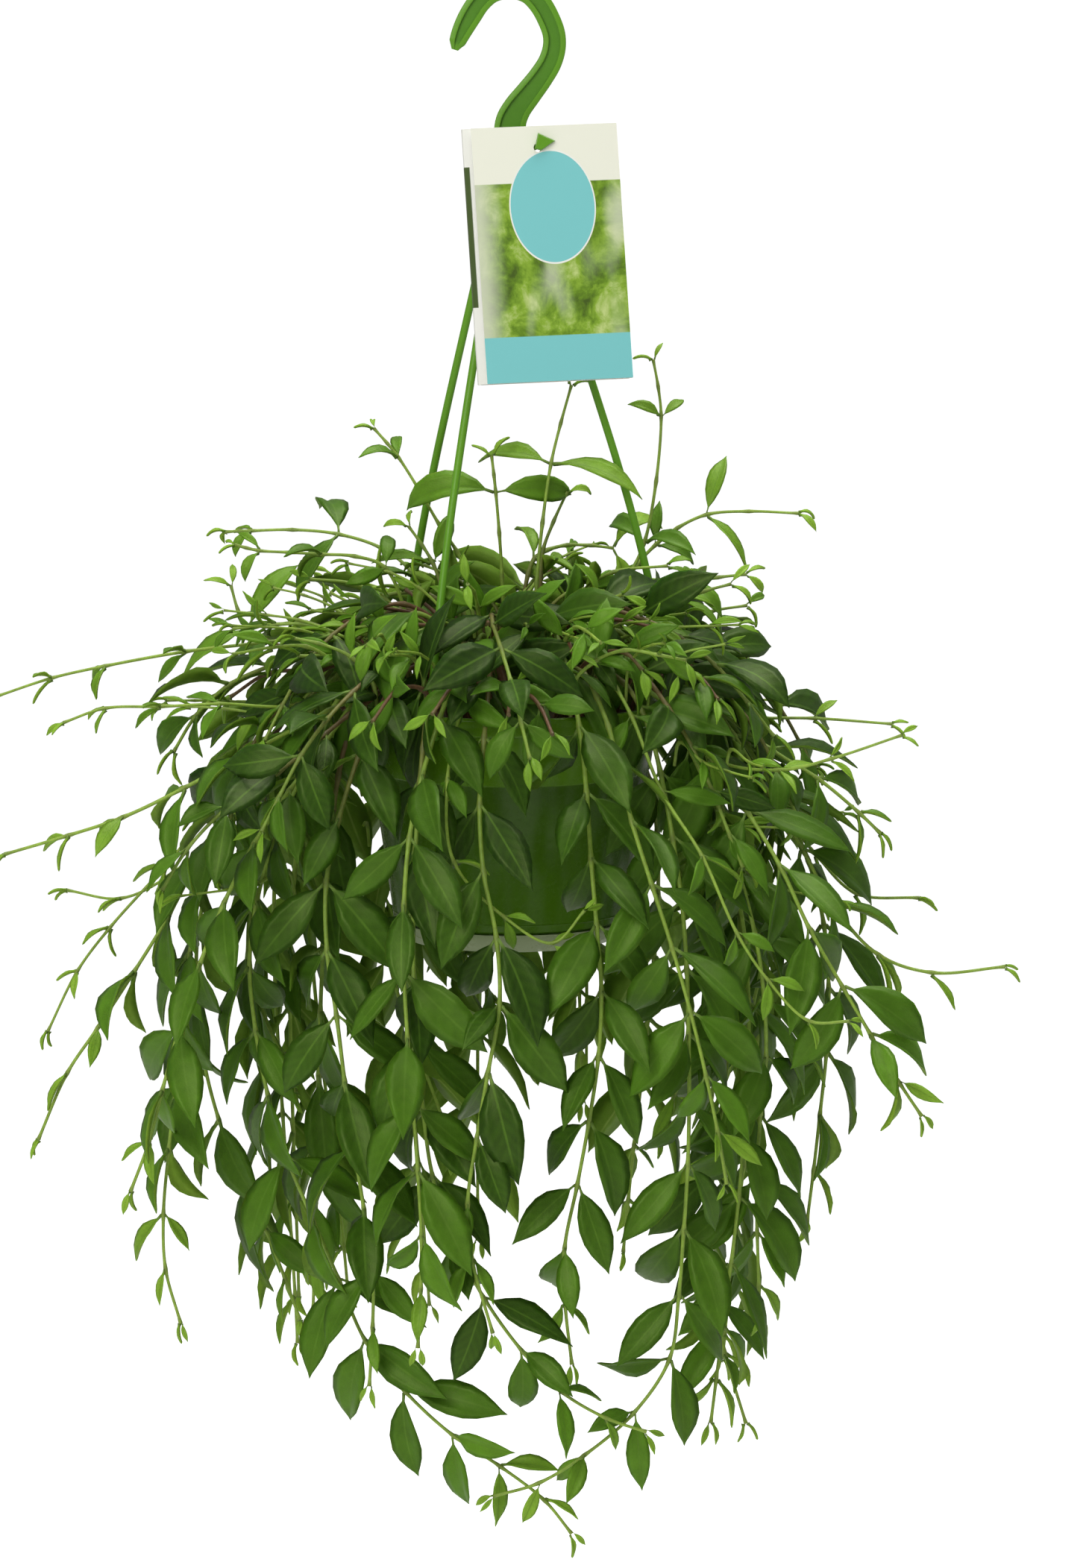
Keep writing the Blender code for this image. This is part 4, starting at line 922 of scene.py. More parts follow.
def bump(graph, shader, height, strength, distance):
    """Fine relief, as deep as the distance in metres."""
    node = graph.add("ShaderNodeBump", {"Height": height, "Strength": strength, "Distance": distance})
    graph.feed(shader.inputs["Normal"], node.outputs[0])


def plain_values(shader, **values):
    """Sets the shader's own sockets, one number or colour for the whole surface."""
    for key, value in values.items():
        shader.inputs[key.replace("_", " ")].default_value = value


def leaf_finish(mottle):
    """Fleshy green: dark when full grown and darkest as painted shade near the rim, lime when young, pale
    along the midrib and underneath.
    """
    made, graph, shader = new_finish("living_leaf")
    u, across, tint, young, under = (graph.trait(n) for n in ("u", "across", "tint", "young", "under"))
    # tints below 0.3, reached only by leaves near the rim, add painted shade (see leaf_traits)
    dark = graph.mix(tint, (0.008, 0.026, 0.005), (0.048, 0.122, 0.008))
    middle = graph.mix(tint, (0.074, 0.185, 0.012), (0.112, 0.258, 0.017))
    lime = (0.262, 0.455, 0.045)
    top = graph.mix(graph.span(young, 0.0, 0.5, smooth=False), dark, middle)
    top = graph.mix(graph.span(young, 0.50, 1.0), top, lime)
    below = graph.mix(graph.span(young, 0.2, 0.9), (0.120, 0.225, 0.020), (0.250, 0.420, 0.038))
    edge = graph.math("ABSOLUTE", across)
    rib = graph.math("SUBTRACT", 1.0, graph.span(edge, 0.015, 0.085))
    rib = graph.math("MULTIPLY", rib, graph.span(u, 1.0, 0.55, 0.10, 0.55))
    veins = graph.add("ShaderNodeTexWave", {"Vector": graph.add("ShaderNodeCombineXYZ", {
        "X": graph.math("MULTIPLY_ADD", edge, -0.22, u), "Y": 0.0, "Z": 0.0}).outputs[0],
        "Scale": 2.6, "Distortion": 0.0}).outputs["Fac"]
    top = graph.mix(graph.math("MULTIPLY", veins, 0.10), top, middle)
    top = graph.mix(rib, top, (0.110, 0.230, 0.025))
    below = graph.mix(rib, below, (0.300, 0.420, 0.100))
    green = graph.mix(under, top, below)
    stalk = graph.span(u, 0.12, 0.05)
    green = graph.mix(stalk, green, (0.170, 0.270, 0.060))
    cloud = use_group(graph, mottle, Patch_Size=90.0, Grain_Size=1400.0, Dark=0.86, Light=1.16, Colour=green)
    graph.feed(shader.inputs["Base Color"], cloud["Colour"])
    rough = graph.math("MULTIPLY_ADD", cloud["Grain"], 0.22, 0.30)
    graph.feed(shader.inputs["Roughness"], graph.math("MULTIPLY_ADD", under, 0.15, rough))
    plain_values(shader, Specular_IOR_Level=0.38, Specular_Tint=(0.80, 1.00, 0.40, 1.0),
                 Subsurface_Weight=0.15, Subsurface_Radius=(0.5, 1.0, 0.15), Subsurface_Scale=0.0015)
    height = graph.math("MULTIPLY_ADD", veins, 0.25, cloud["Grain"])
    bump(graph, shader, height, 0.25, 0.0004)
    return made


def stem_finish(mottle):
    """Lime green at the growing end, red-brown and corky where it is old."""
    made, graph, shader = new_finish("living_stem")
    age, ring = graph.trait("age"), graph.trait("ring")
    green = graph.mix(age, (0.280, 0.430, 0.055), (0.160, 0.260, 0.035))
    brown = graph.mix(graph.noise(graph.where(), 160.0), (0.120, 0.050, 0.028), (0.200, 0.105, 0.055))
    colour = graph.mix(graph.span(age, 0.45, 0.95), green, brown)
    colour = graph.mix(graph.math("MULTIPLY", ring, 0.4), colour, (0.120, 0.130, 0.040))
    cloud = use_group(graph, mottle, Patch_Size=220.0, Grain_Size=1800.0, Dark=0.8, Light=1.2, Colour=colour)
    graph.feed(shader.inputs["Base Color"], cloud["Colour"])
    plain_values(shader, Roughness=0.5, Subsurface_Weight=0.1, Subsurface_Scale=0.001)
    bump(graph, shader, cloud["Grain"], 0.4, 0.0004)
    return made


def plastic_surface(graph, shader, mottle, colour, roughness):
    """Moulded plastic: a little uneven in colour, with a faint grain and fine scuffs."""
    cloud = use_group(graph, mottle, Patch_Size=25.0, Grain_Size=900.0, Dark=0.93, Light=1.07, Colour=colour)
    graph.feed(shader.inputs["Base Color"], cloud["Colour"])
    scuffs = graph.noise(graph.where(), 300.0, 4.0, 0.7)
    graph.feed(shader.inputs["Roughness"], graph.span(scuffs, 0.3, 0.75, roughness, roughness + 0.18))
    bump(graph, shader, cloud["Grain"], 0.05, 0.0001)


def hanger_finish(mottle):
    """Grass-green plastic, with painted shade darkening the hook's groove."""
    made, graph, shader = new_finish("hanger_plastic")
    # painted shade: the faces marked sunk, in the groove, get the darker green
    colour = graph.mix(graph.trait("sunk"), (0.125, 0.330, 0.018), (0.085, 0.250, 0.012))
    plastic_surface(graph, shader, mottle, colour, 0.34)
    plain_values(shader, Specular_IOR_Level=0.35)
    return made


def pot_finish(mottle):
    """Glossy leaf-green plastic, with painted light at its grazing edges where light would pass through the
    thin wall; paler in the rim band.
    """
    made, graph, shader = new_finish("pot_plastic")
    height = graph.add("ShaderNodeSeparateXYZ", {0: graph.where()}).outputs["Z"]
    # the body grows darker from the base up towards the band
    body = graph.mix(graph.span(height, POT_BASE * MM, (BAND_FOOT - 4.0) * MM),
                     (0.078, 0.190, 0.007), (0.060, 0.142, 0.008))
    in_band = graph.span(height, (BAND_FOOT - 0.5) * MM, (BAND_FOOT + 0.2) * MM, smooth=False)
    colour = graph.mix(in_band, body, (0.120, 0.270, 0.012))
    # painted light: at grazing angles the wall turns pale grey-green, standing in for light through the thin
    # wall
    edge = graph.add("ShaderNodeLayerWeight", {"Blend": 0.25}).outputs["Facing"]
    colour = graph.mix(graph.span(edge, 0.25, 0.85, 0.0, 0.8), colour, (0.200, 0.240, 0.130))
    plastic_surface(graph, shader, mottle, colour, 0.16)
    plain_values(shader, Specular_IOR_Level=0.25)
    return made


def saucer_finish(mottle):
    """Thin, pale, see-through plastic: light passes through it, with a tint."""
    made, graph, shader = new_finish("saucer_plastic")
    cloud = use_group(graph, mottle, Patch_Size=18.0, Grain_Size=700.0, Dark=0.92, Light=1.08,
                      Colour=(0.360, 0.440, 0.240))
    graph.feed(shader.inputs["Base Color"], cloud["Colour"])
    plain_values(shader, Alpha=0.80)
    scuffs = graph.noise(graph.where(), 240.0, 4.0, 0.7)
    graph.feed(shader.inputs["Roughness"], graph.span(scuffs, 0.3, 0.75, 0.25, 0.45))
    bump(graph, shader, cloud["Grain"], 0.12, 0.0002)
    return made


def soil_finish():
    """Dark, crumbly potting soil."""
    made, graph, shader = new_finish("potting_soil")
    where = graph.where()
    crumbs = graph.add("ShaderNodeTexVoronoi", {"Vector": where, "Scale": 420.0}).outputs["Color"]
    colour = graph.mix(graph.noise(where, 900.0, 4.0), (0.020, 0.012, 0.008), (0.090, 0.055, 0.032))
    colour = graph.mix(0.35, colour, graph.mix(1.0, crumbs, (0.12, 0.075, 0.045), "MULTIPLY"))
    graph.feed(shader.inputs["Base Color"], colour)
    plain_values(shader, Roughness=0.95)
    bump(graph, shader, graph.noise(where, 500.0, 5.0), 0.9, 0.002)
    return made


# The card's print, in shares of the card's width and height from its top left corner
HEAD_FOOT = 0.222                # lower edge of the cream head
BAND_TOP = 0.822                 # upper edge of the plain band
OVAL_MIDDLE = (0.525, 0.318, 0.0)
OVAL_REACH = (0.288, 0.218, 1.0)
OVAL_RIM = 1.0315                # outer edge of the white line round the oval
CREAM, SEA, WHITE = (0.93, 0.935, 0.86), (0.220, 0.635, 0.690), (0.95, 0.95, 0.94)


def card_finish():
    """Printed board: a cream head, a panel of blurred leaves, a plain oval and a plain band."""
    made, graph, shader = new_finish("printed_card")
    spot = graph.add("ShaderNodeUVMap", uv_map="Print").outputs[0]
    parts = graph.add("ShaderNodeSeparateXYZ", {0: spot}).outputs
    x, down, face = parts[0], parts[1], graph.trait("panel")

    def cloudy(wide, tall, detail, shift, colour=False):
        spread = graph.vector("MULTIPLY_ADD", spot, (wide, tall, 1.0))
        graph.feed(spread.node.inputs[2], (shift, shift, 0.0))
        return graph.noise(spread, 1.0, detail, 0.5, colour)

    def step(value, edge, half=0.0015, up=True):
        """0 before the edge and 1 past it, or the other way round."""
        low, high = edge - half, edge + half
        return graph.span(value, *((low, high) if up else (high, low)), smooth=False)

    drift = graph.times(cloudy(3.0, 5.0, 1.0, 3.1, colour=True), 1.3)
    leafy = graph.noise(graph.plus(graph.vector("MULTIPLY", spot, (5.5, 8.5, 1.0)), drift), 1.0, 5.0, 0.66)
    picture = graph.ramp(leafy, (0.32, (0.060, 0.110, 0.010)), (0.45, (0.140, 0.270, 0.015)),
                         (0.56, (0.270, 0.450, 0.040)), (0.70, (0.560, 0.680, 0.260)))
    haze = graph.span(cloudy(3.2, 1.6, 1.5, 7.7), 0.53, 0.70, 0.0, 0.75)
    left_haze = graph.span(x, 0.20, 0.0, 0.0, 0.85)
    picture = graph.mix(graph.math("MAXIMUM", haze, left_haze), picture, (0.72, 0.76, 0.62))
    front = graph.mix(step(down, HEAD_FOOT), CREAM, picture)
    front = graph.mix(step(down, BAND_TOP), front, SEA)
    from_oval = graph.vector("DIVIDE", graph.vector("SUBTRACT", spot, OVAL_MIDDLE), OVAL_REACH)
    away = graph.vector("LENGTH", from_oval)
    front = graph.mix(step(away, OVAL_RIM, 0.0035, up=False), front, WHITE)
    front = graph.mix(step(away, 1.0, 0.003, up=False), front, SEA)
    plain = graph.mix(step(x, -0.021, 0.003, up=False), WHITE, (0.070, 0.110, 0.030))
    in_strip = graph.math("MULTIPLY", step(down, 0.15), graph.math("SUBTRACT", 1.0, step(down, 0.70)))
    plain = graph.mix(in_strip, WHITE, plain)
    graph.feed(shader.inputs["Base Color"], graph.mix(step(face, 0.5), plain, front))
    grain = graph.noise(graph.where(), 2500.0, 2.0)
    graph.feed(shader.inputs["Roughness"], graph.span(grain, 0.3, 0.7, 0.30, 0.42))
    bump(graph, shader, grain, 0.08, 0.0001)
    return made


# --------------------------------------------------------------------- the plant

VINE_GROUPS = {
    "front_vines": range(1, 12), "left_vines": range(12, 22), "right_vines": range(22, 31),
    "standing_shoots": range(31, 38), "crown_shoots": range(38, 44), "back_vines": range(44, 52),
}
LEAF_SCALE = 1.04                # of the blades, over the solids they stand for
STEM_SIDES = 7
STEM_STEP = 3.2                  # between the points along a stem
JOINT_REACH = 2.4                # how far a stem's swelling runs from its joint

# More standing shoots, in the same way as the vines' own: points, and a leaf length at each
MORE_SHOOTS = [
    [(15, 10, -294, 0), (16, 10, -270, 0), (28, 12, -241, 13)],
    [(7, 30, -292, 0), (12, 32, -276, 26), (28, 36, -270, 0), (51, 40, -272, 40)],
    [(72, -8, -304, 0), (84, -8, -292, 24), (108, -10, -284, 14)],
    [(-112, 30, -320, 0), (-130, 32, -311, 42), (-138, 36, -290, 14)],
    [(-30, 10, -300, 0), (-38, 12, -276, 26), (-50, 14, -258, 12)],
    [(60, 10, -300, 0), (88, 12, -286, 28), (116, 14, -282, 14)],
]
BOX = [[c / MM for c in corner] for corner in cad_box]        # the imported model's, in millimetres
FILL_SEED = 77
FILL_COUNTS = {"dome_stems": 34, "dome_sprigs": 34, "growing_tips": 36}
CURTAIN_AZIMUTHS = (-24, 6, 36, 66, 96, 124, 154, 184, 206)
STEM_INSET = 6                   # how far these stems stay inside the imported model's box
TIP_OUTSET = 2                   # and how far their leaves' tips may pass it
WILD = 1.5                       # how much more unevenly their leaves are turned


def kept_in(point, spare):
    """The point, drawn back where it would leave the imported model's box."""
    return Vector([min(max(c, low + spare), high - spare) for c, low, high in zip(point, *BOX)])


def leafy_stem(space, number, kind, points, chance):
    """A stem through the points with its leaves set clear of everything already there."""
    lengths = [p[3] for p in points] if kind == "shoot" else []
    joints, bears = stem_joints(kind, [kept_in(p[:3], STEM_INSET) for p in points], lengths[1:])
    pairs = [None]
    for i in range(1, len(joints)):
        roll = next_roll(kind, pairs, chance)
        if not bears[i]:
            pairs.append(None)
            continue
        along, side, facing = joint_frame(joints, i, roll, kind)
        grown = bears[i] / KINDS[kind][2] if kind == "shoot" else age_scale(kind, sum(bears[i + 1:]))
        pair = []
        for sign in (1, -1):
            base = joints[i] + side * (sign * KINDS[kind][0] * LEAF_SEAT)
            draws = [chance.uniform(-1, 1) * WILD for _ in range(4)]
            size = grown * chance.uniform(*LEAF_SIZES)
            leaf = place_leaf(space, number, base, along, side * sign, facing, size, kind, draws)
            tip = leaf.frame(1.0)[0] if leaf else None
            pair.append(leaf if leaf and tip == kept_in(tip, -TIP_OUTSET) else None)
        pairs.append(pair)
    return kind, joints, pairs


def dome_stem(chance):
    """A short stem out of the mound above the rim, leaning outward and over."""
    mound = 88
    azimuth, reach = chance.uniform(0, 360), mound * math.sqrt(chance.uniform(0.02, 1.0))
    height = -296 - 30 * (reach / mound) ** 2 + chance.uniform(-10, 8)
    long, lean = chance.uniform(26, 52), 0.35 + 0.6 * reach / mound
    start, turn = polar(reach, azimuth), chance.uniform(-30, 30)
    out = polar(1.0, azimuth + turn)
    rise = UP * (1.0 - lean)
    return [start + UP * (height - 16), start + UP * height + out * long * 0.3,
            start + UP * height + (out * lean + rise) * long * 0.8 - UP * 3 * lean,
            start + UP * height + (out * lean * 1.3 + rise * 0.8) * long - UP * long * 0.35 * lean]


def dome_sprig(chance):
    """A short stem that stands up out of the mound and bends outward."""
    mound = 92
    azimuth, reach = chance.uniform(0, 360), mound * math.sqrt(chance.uniform(0.0, 1.0))
    start = polar(reach, azimuth, -302 - 30 * (reach / mound) ** 2)
    out, long = polar(1.0, azimuth + chance.uniform(-50, 50)), chance.uniform(30, 62)
    lean = chance.uniform(0.25, 0.75) + 0.3 * reach / mound
    return [start - UP * 14, start, start + (out * lean + UP * 0.75) * long * 0.5,
            start + (out * lean * 1.3 + UP * (0.8 - 0.5 * lean)) * long]


def curtain_vine(chance, azimuth):
    """A hanging stem behind the front ones, from over the rim down into the mass."""
    reach, foot = chance.uniform(92, 128), chance.uniform(530, 650)
    return [polar(70, azimuth, -330), polar(reach - 8, azimuth + 3, -352), polar(reach, azimuth, -400),
            polar(reach + chance.uniform(-6, 14), azimuth + chance.uniform(-8, 8), -470),
            polar(reach + chance.uniform(-26, 8), azimuth + chance.uniform(-14, 14), -foot)]


def side_spray(chance, azimuth):
    """A stem that arches far out over the rim at one side."""
    reach, fall = chance.uniform(118, 150), chance.uniform(24, 90)
    return [polar(50, azimuth, -322), polar(88, azimuth + 4, -318),
            polar(reach, azimuth + 6, -330 - fall * 0.3),
            polar(reach + 22, azimuth + chance.uniform(0, 12), -338 - fall)]


def growing_tip(chance):
    """A thin young shoot with small pale leaves, out of the mound or low down at one side."""
    mound, low = 95, chance.random() < 0.35
    azimuth = chance.choice((0, 180)) + chance.uniform(-48, 48) if low else chance.uniform(0, 360)
    reach = chance.uniform(100, 128) if low else chance.uniform(20, mound)
    height = -chance.uniform(340, 470) if low else -300 - 26 * (reach / mound) ** 2
    out = polar(1.0, azimuth + chance.uniform(-35, 35))
    start, long = polar(reach, azimuth, height), chance.uniform(34, 72)
    rise = UP * (chance.uniform(-0.5, 0.3) if low else chance.uniform(0.1, 0.9))
    return [start - UP * 12, start, start + (out * 0.8 + rise) * long * 0.5,
            start + (out + rise * 0.7) * long]


def fill_out(space, first_number):
    """The leafy stems that close the gaps between the vines, by group; the vines' numbers run on."""
    chance = random.Random(FILL_SEED)

    def several(group, kind, route):
        return [(group, kind, route(chance)) for _ in range(FILL_COUNTS[group])]

    jobs = [("shorter_shoots", "shoot", points) for points in MORE_SHOOTS]
    jobs += several("dome_stems", "crown", dome_stem) + several("dome_sprigs", "sprig", dome_sprig)
    for side in (180, 0):
        jobs += [("curtain_vines", "crown", side_spray(chance, side - 52 + 24 * i)) for i in range(5)]
    jobs += [("curtain_vines", "trail", curtain_vine(chance, azimuth)) for azimuth in CURTAIN_AZIMUTHS]
    jobs += several("growing_tips", "tip", growing_tip)
    groups = {}
    for number, (group, kind, points) in enumerate(jobs, first_number):
        groups.setdefault(group, []).append(leafy_stem(space, number, kind, points, chance))
    return groups


def stem_points(joints, kind, chance, fresh):
    """Points close together along one stem, with its thickness, age and node rings."""
    radius = KINDS[kind][0]
    path = smooth_path(joints, STEM_STEP)
    run = [0.0]
    for a, b in zip(path, path[1:]):
        run.append(run[-1] + (b - a).length)
    old = chance.uniform(150, 330) if kind in ("trail", "long trail", "crown") else chance.uniform(60, 150)
    points, thick, age, ring = [], [], [], []
    for p, at in zip(path, run):
        near = min((p - joint).length for joint in joints[1:])
        swell = math.exp(-(near / JOINT_REACH) ** 2)
        points.append(p * MM)
        thick.append(radius * MM * (1.12 - 0.42 * at / run[-1]) * (1.0 + 0.45 * swell))
        age.append(max(0.0, min(1.0, 1.15 - at / old - fresh)))
        ring.append(swell)
    return points, thick, age, ring


def leaf_traits(leaf, kind, young, chance):
    """What the leaf tree needs to know about one leaf; those near the rim are the darkest, partly for their
    age and partly as painted shade.
    """
    # age and painted shade: crown and trailing leaves higher up, under the dome, get a darker tint range
    old = 1.0 if kind == "crown" else 0.8 if "trail" in kind else 0.0
    high = min(1.0, max(0.0, (leaf.base.z + 500) / 130)) * old
    tint_range_with_rim_shade = (0.3 * (1 - high), 1.0 - 0.6 * high)
    side = leaf.face.cross(leaf.along)
    return {"base": leaf.base * MM, "along": leaf.along, "face": leaf.face, "side": side,
            "leaf_length": leaf.length * MM * LEAF_SCALE,
            "leaf_width": leaf.width * MM * LEAF_SCALE * (1.0 - 0.25 * young),
            "curl": math.radians(leaf.curl), "fold": chance.uniform(0.14, 0.50) + 0.25 * young,
            "twist": chance.uniform(-0.7, 0.7), "sway": chance.uniform(-0.07, 0.07),
            "tint": chance.uniform(*tint_range_with_rim_shade), "young": young}


# How much fresher than full-grown green a whole stem's leaves may be
FRESHNESS = {"trail": (0.0, 0.30), "long trail": (0.05, 0.35), "crown": (0.0, 0.10),
             "runner": (0.22, 0.52), "shoot": (0.20, 0.40), "sprig": (0.15, 0.55), "tip": (0.50, 0.80)}


def youth(kind, left):
    """How pale a pair of leaves is, with so many younger pairs beyond it."""
    if kind == "tip":
        return 0.0
    if kind in ("sprig", "shoot"):
        return (0.15 if kind == "sprig" else 0.35) * max(0, 2 - left)
    return 1.1 * (1.0 - age_scale(kind, left))


def build_vines(group, vines, tools, nodes=()):
    """One group of vines as two pieces, stems and leaves; they may stand for the vines' solids."""
    pattern, leaves, stems, leaf_green, stem_green = tools
    chance = random.Random(group)
    traits, points, edges = [], [], []
    line = {"thick": [], "age": [], "ring": []}
    for kind, joints, pairs in vines:
        fresh = chance.uniform(*FRESHNESS[kind])
        where, *more = stem_points(joints, kind, chance, fresh)
        edges += [(len(points) + i, len(points) + i + 1) for i in range(len(where) - 1)]
        points += where
        for name, values in zip(line, more):
            line[name] += values
        bearing = [pair for pair in pairs if pair]
        for i, pair in enumerate(bearing):
            young = min(1.0, youth(kind, len(bearing) - 1 - i) + fresh)
            traits += [leaf_traits(leaf, kind, young, chance) for leaf in pair if leaf]
    growth = make(f"{group}_stems", carrier(points, edges, **line), stems,
                  {"Sides": STEM_SIDES, "Stem finish": stem_green})
    by_name = {name: [t[name] for t in traits] for name in traits[0]}
    blades = make(f"{group}_leaves", carrier(by_name["base"], **by_name), leaves,
                  {"Leaf pattern": pattern, "Thickness": LEAF_THICKNESS, "Ripple": LEAF_RIPPLE,
                   "Leaf finish": leaf_green})
    for piece in (growth, blades):
        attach(piece, "root")
        if nodes:
            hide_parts(*nodes)


def build_plant(mottle):
    """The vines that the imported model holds, and the stems between them."""
    pattern = leaf_pattern()
    tools = pattern, leaf_tree(), stem_tree(), leaf_finish(mottle), stem_finish(mottle)
    vines, space = grow()
    for group, numbers in VINE_GROUPS.items():
        build_vines(group, [vines[number - 1] for number in numbers], tools,
                    [f"vine_{number:02d}" for number in numbers])
    for group, more in fill_out(space, len(vines)).items():
        build_vines(group, more, tools)
    bpy.data.objects.remove(pattern, do_unlink=True)


# ------------------------------------------------------------------ making meshes

def smoothed(mesh, sharp):
    """Shades a mesh smooth, apart from edges sharper than the angle in degrees."""
    mesh.shade_smooth()
    mesh.set_sharp_from_angle(angle=math.radians(sharp))


def shell(name, points, faces, finish):
    """A plain mesh object from points in millimetres, faces turned outward and shaded smooth."""
    mesh = bpy.data.meshes.new(name)
    mesh.from_pydata([[c * MM for c in p] for p in points], [], faces)
    work = bmesh.new()
    work.from_mesh(mesh)
    bmesh.ops.recalc_face_normals(work, faces=work.faces)
    if work.calc_volume(signed=True) < 0:
        bmesh.ops.reverse_faces(work, faces=work.faces)
    work.to_mesh(mesh)
    work.free()
    smoothed(mesh, 38)
    mesh.materials.append(finish)
    return placed(name, mesh)


def merged(*shapes):
    """Several (points, faces) as one."""
    points, faces = [], []
    for more, around in shapes:
        faces += [tuple(len(points) + i for i in face) for face in around]
        points += more
    return points, faces


def finished(piece, sharp):
    """Makes the piece's modifiers part of its mesh, and shades it."""
    mesh = as_mesh(piece)
    piece.modifiers.clear()
    piece.data = mesh
    smoothed(mesh, sharp)
    return piece


def eased(piece, width):
    """Rounds a piece's sharp edges for good."""
    step = piece.modifiers.new("ease", "BEVEL")
    step.width = width * MM
    step.segments = 2
    step.limit_method = "ANGLE"
    step.angle_limit = math.radians(30)
    step.harden_normals = False
    return finished(piece, 50)


def settle(piece, slot, *nodes):
    """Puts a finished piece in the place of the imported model's solids."""
    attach(piece, "root")
    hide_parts(*nodes)


def repaint(node, finish):
    """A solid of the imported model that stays, with a better finish."""
    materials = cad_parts[node].data.materials
    materials.clear()
    materials.append(finish)


# --------------------------------------------------------------- hook, hub, arms

def hook_section(width):
    """The I-shaped cross-section as (across, depth), with eased corners."""
    half, deep = width / 2, HOOK_HALF_DEPTH
    groove = max(0.02, half - HOOK_RIM + 0.2)
    sunk = deep - GROOVE_DEPTH * min(1.0, groove / 1.4)
    quarter = [(half, deep - 0.9), (half - 0.25, deep - 0.3), (half - 0.9, deep), (groove + 0.35, deep),
               (groove + 0.05, deep - 0.25), (groove, sunk + 0.2), (groove - 0.02, sunk)]
    right = [(u, y) for u, y in quarter[::-1]]
    top = right + [(u, -y) for u, y in quarter]
    return top + [(-u, y) for u, y in top[::-1]]


def build_hook(plastic):
    """The hook's bar with its sunk faces, and the round hub under it."""
    line = smooth_path([(x, z, width) for (x, z), width in HOOK_LINE], 1.3)
    sections, sunk = [], []
    for i, spot in enumerate(line):
        before, after = line[max(i - 1, 0)], line[min(i + 1, len(line) - 1)]
        along = Vector((after.x - before.x, after.y - before.y)).normalized()
        side = Vector((-along.y, along.x))
        ease = min(1.0, 0.55 + 0.15 * i)
        outline = hook_section(spot.z)
        sections.append([Vector((spot.x + side.x * u * ease, y * ease, spot.y + side.y * u * ease))
                         for u, y in outline])
        sunk += [1.0 if abs(y) < HOOK_HALF_DEPTH - 1.2 else 0.0 for _, y in outline]
    low = HUB_TOP - HUB_DEPTH
    r = HUB_RADIUS
    hub = turned([(0, HUB_TOP + 0.2), (r - 3.2, HUB_TOP + 0.2), (r - 2.6, HUB_TOP), (r - 1.4, HUB_TOP - 0.1),
                  (r - 0.4, HUB_TOP - 0.6), (r, HUB_TOP - 1.6), (r, HUB_TOP - 5.0), (r - 0.35, HUB_TOP - 5.3),
                  (r - 0.35, HUB_TOP - 6.0), (r, HUB_TOP - 6.3), (r, low + 1.6), (r - 0.4, low + 0.5),
                  (r - 1.4, low), (r - 2.6, low), (r - 3.2, low + 0.5), (0, low + 0.5)], 48)
    bar = shell("hanger_hook_bar", *merged(swept(sections), hub), plastic)
    # the sunk mark tells hanger_finish where to paint the groove's shade
    marked = bar.data.attributes.new("sunk", "FLOAT", "POINT")
    marked.data.foreach_set("value", sunk + [0.0] * len(hub[0]))
    settle(bar, "hanger_plastic", "hanger_hook")


def build_arms(plastic):
    """Each arm's rod with its ball end and collar, and the claw that grips the rim."""
    outer, inner = RIM_RADIUS + GAP + CLAW_THICK, RIM_RADIUS + GAP
    hooked, top, foot = inner - 3.4, RIM_TOP + GAP, RIM_TOP - RIM_LIP - GAP
    outline = [(outer, top + 1.8), (outer, foot - 1.8), (hooked, foot - 1.8), (hooked, foot),
               (inner, foot), (inner, top), (hooked, top), (hooked, top + 1.8)]
    for name, azimuth in ARM_AZIMUTHS.items():
        line = smooth_path(arm_line(azimuth), 4.0)
        sections = [[polar(r, azimuth, z) + polar(side, azimuth + 90) for r, z in outline]
                    for side in (-CLAW_WIDTH / 2, CLAW_WIDTH / 2)]
        claw = eased(shell(f"{name}_claw", *swept(sections), plastic), 0.45)
        turns = [math.pi * i / 8 for i in range(9)]
        ball = [(BALL_RADIUS * math.sin(a), BALL_RADIUS * math.cos(a)) for a in turns]
        knob, around = turned([(0, ball[0][1])] + ball[1:-1] + [(0, ball[-1][1])], 16)
        knob = [p + line[0] for p in knob], around
        down = (line[1] - line[0]).normalized()
        collar = round_tube([line[0] + down * far for far in (4.0, 4.4, 5.6, 6.0)], ARM_RADIUS + 0.35, 14)
        rod = round_tube(line, ARM_RADIUS, 14)
        settle(shell(f"{name}_rod", *merged(rod, knob, collar), plastic), "hanger_plastic", name)
        settle(claw, "hanger_plastic", name)


# --------------------------------------------------------------- pot and saucer

def eased_profile(profile, radius):
    """The same (radius, height) profile with each corner cut into three points."""
    done = []
    for i, here in enumerate(profile):
        if here[0] == 0 or i in (0, len(profile) - 1):
            done.append(here)
            continue
        spot, before, after = (Vector(p) for p in (here, profile[i - 1], profile[i + 1]))
        back, ahead = before - spot, after - spot
        cut = min(radius, back.length * 0.35, ahead.length * 0.35)
        p, q = spot + back.normalized() * cut, spot + ahead.normalized() * cut
        done += [tuple(p), tuple((p + q) / 4 + spot / 2), tuple(q)]
    return done


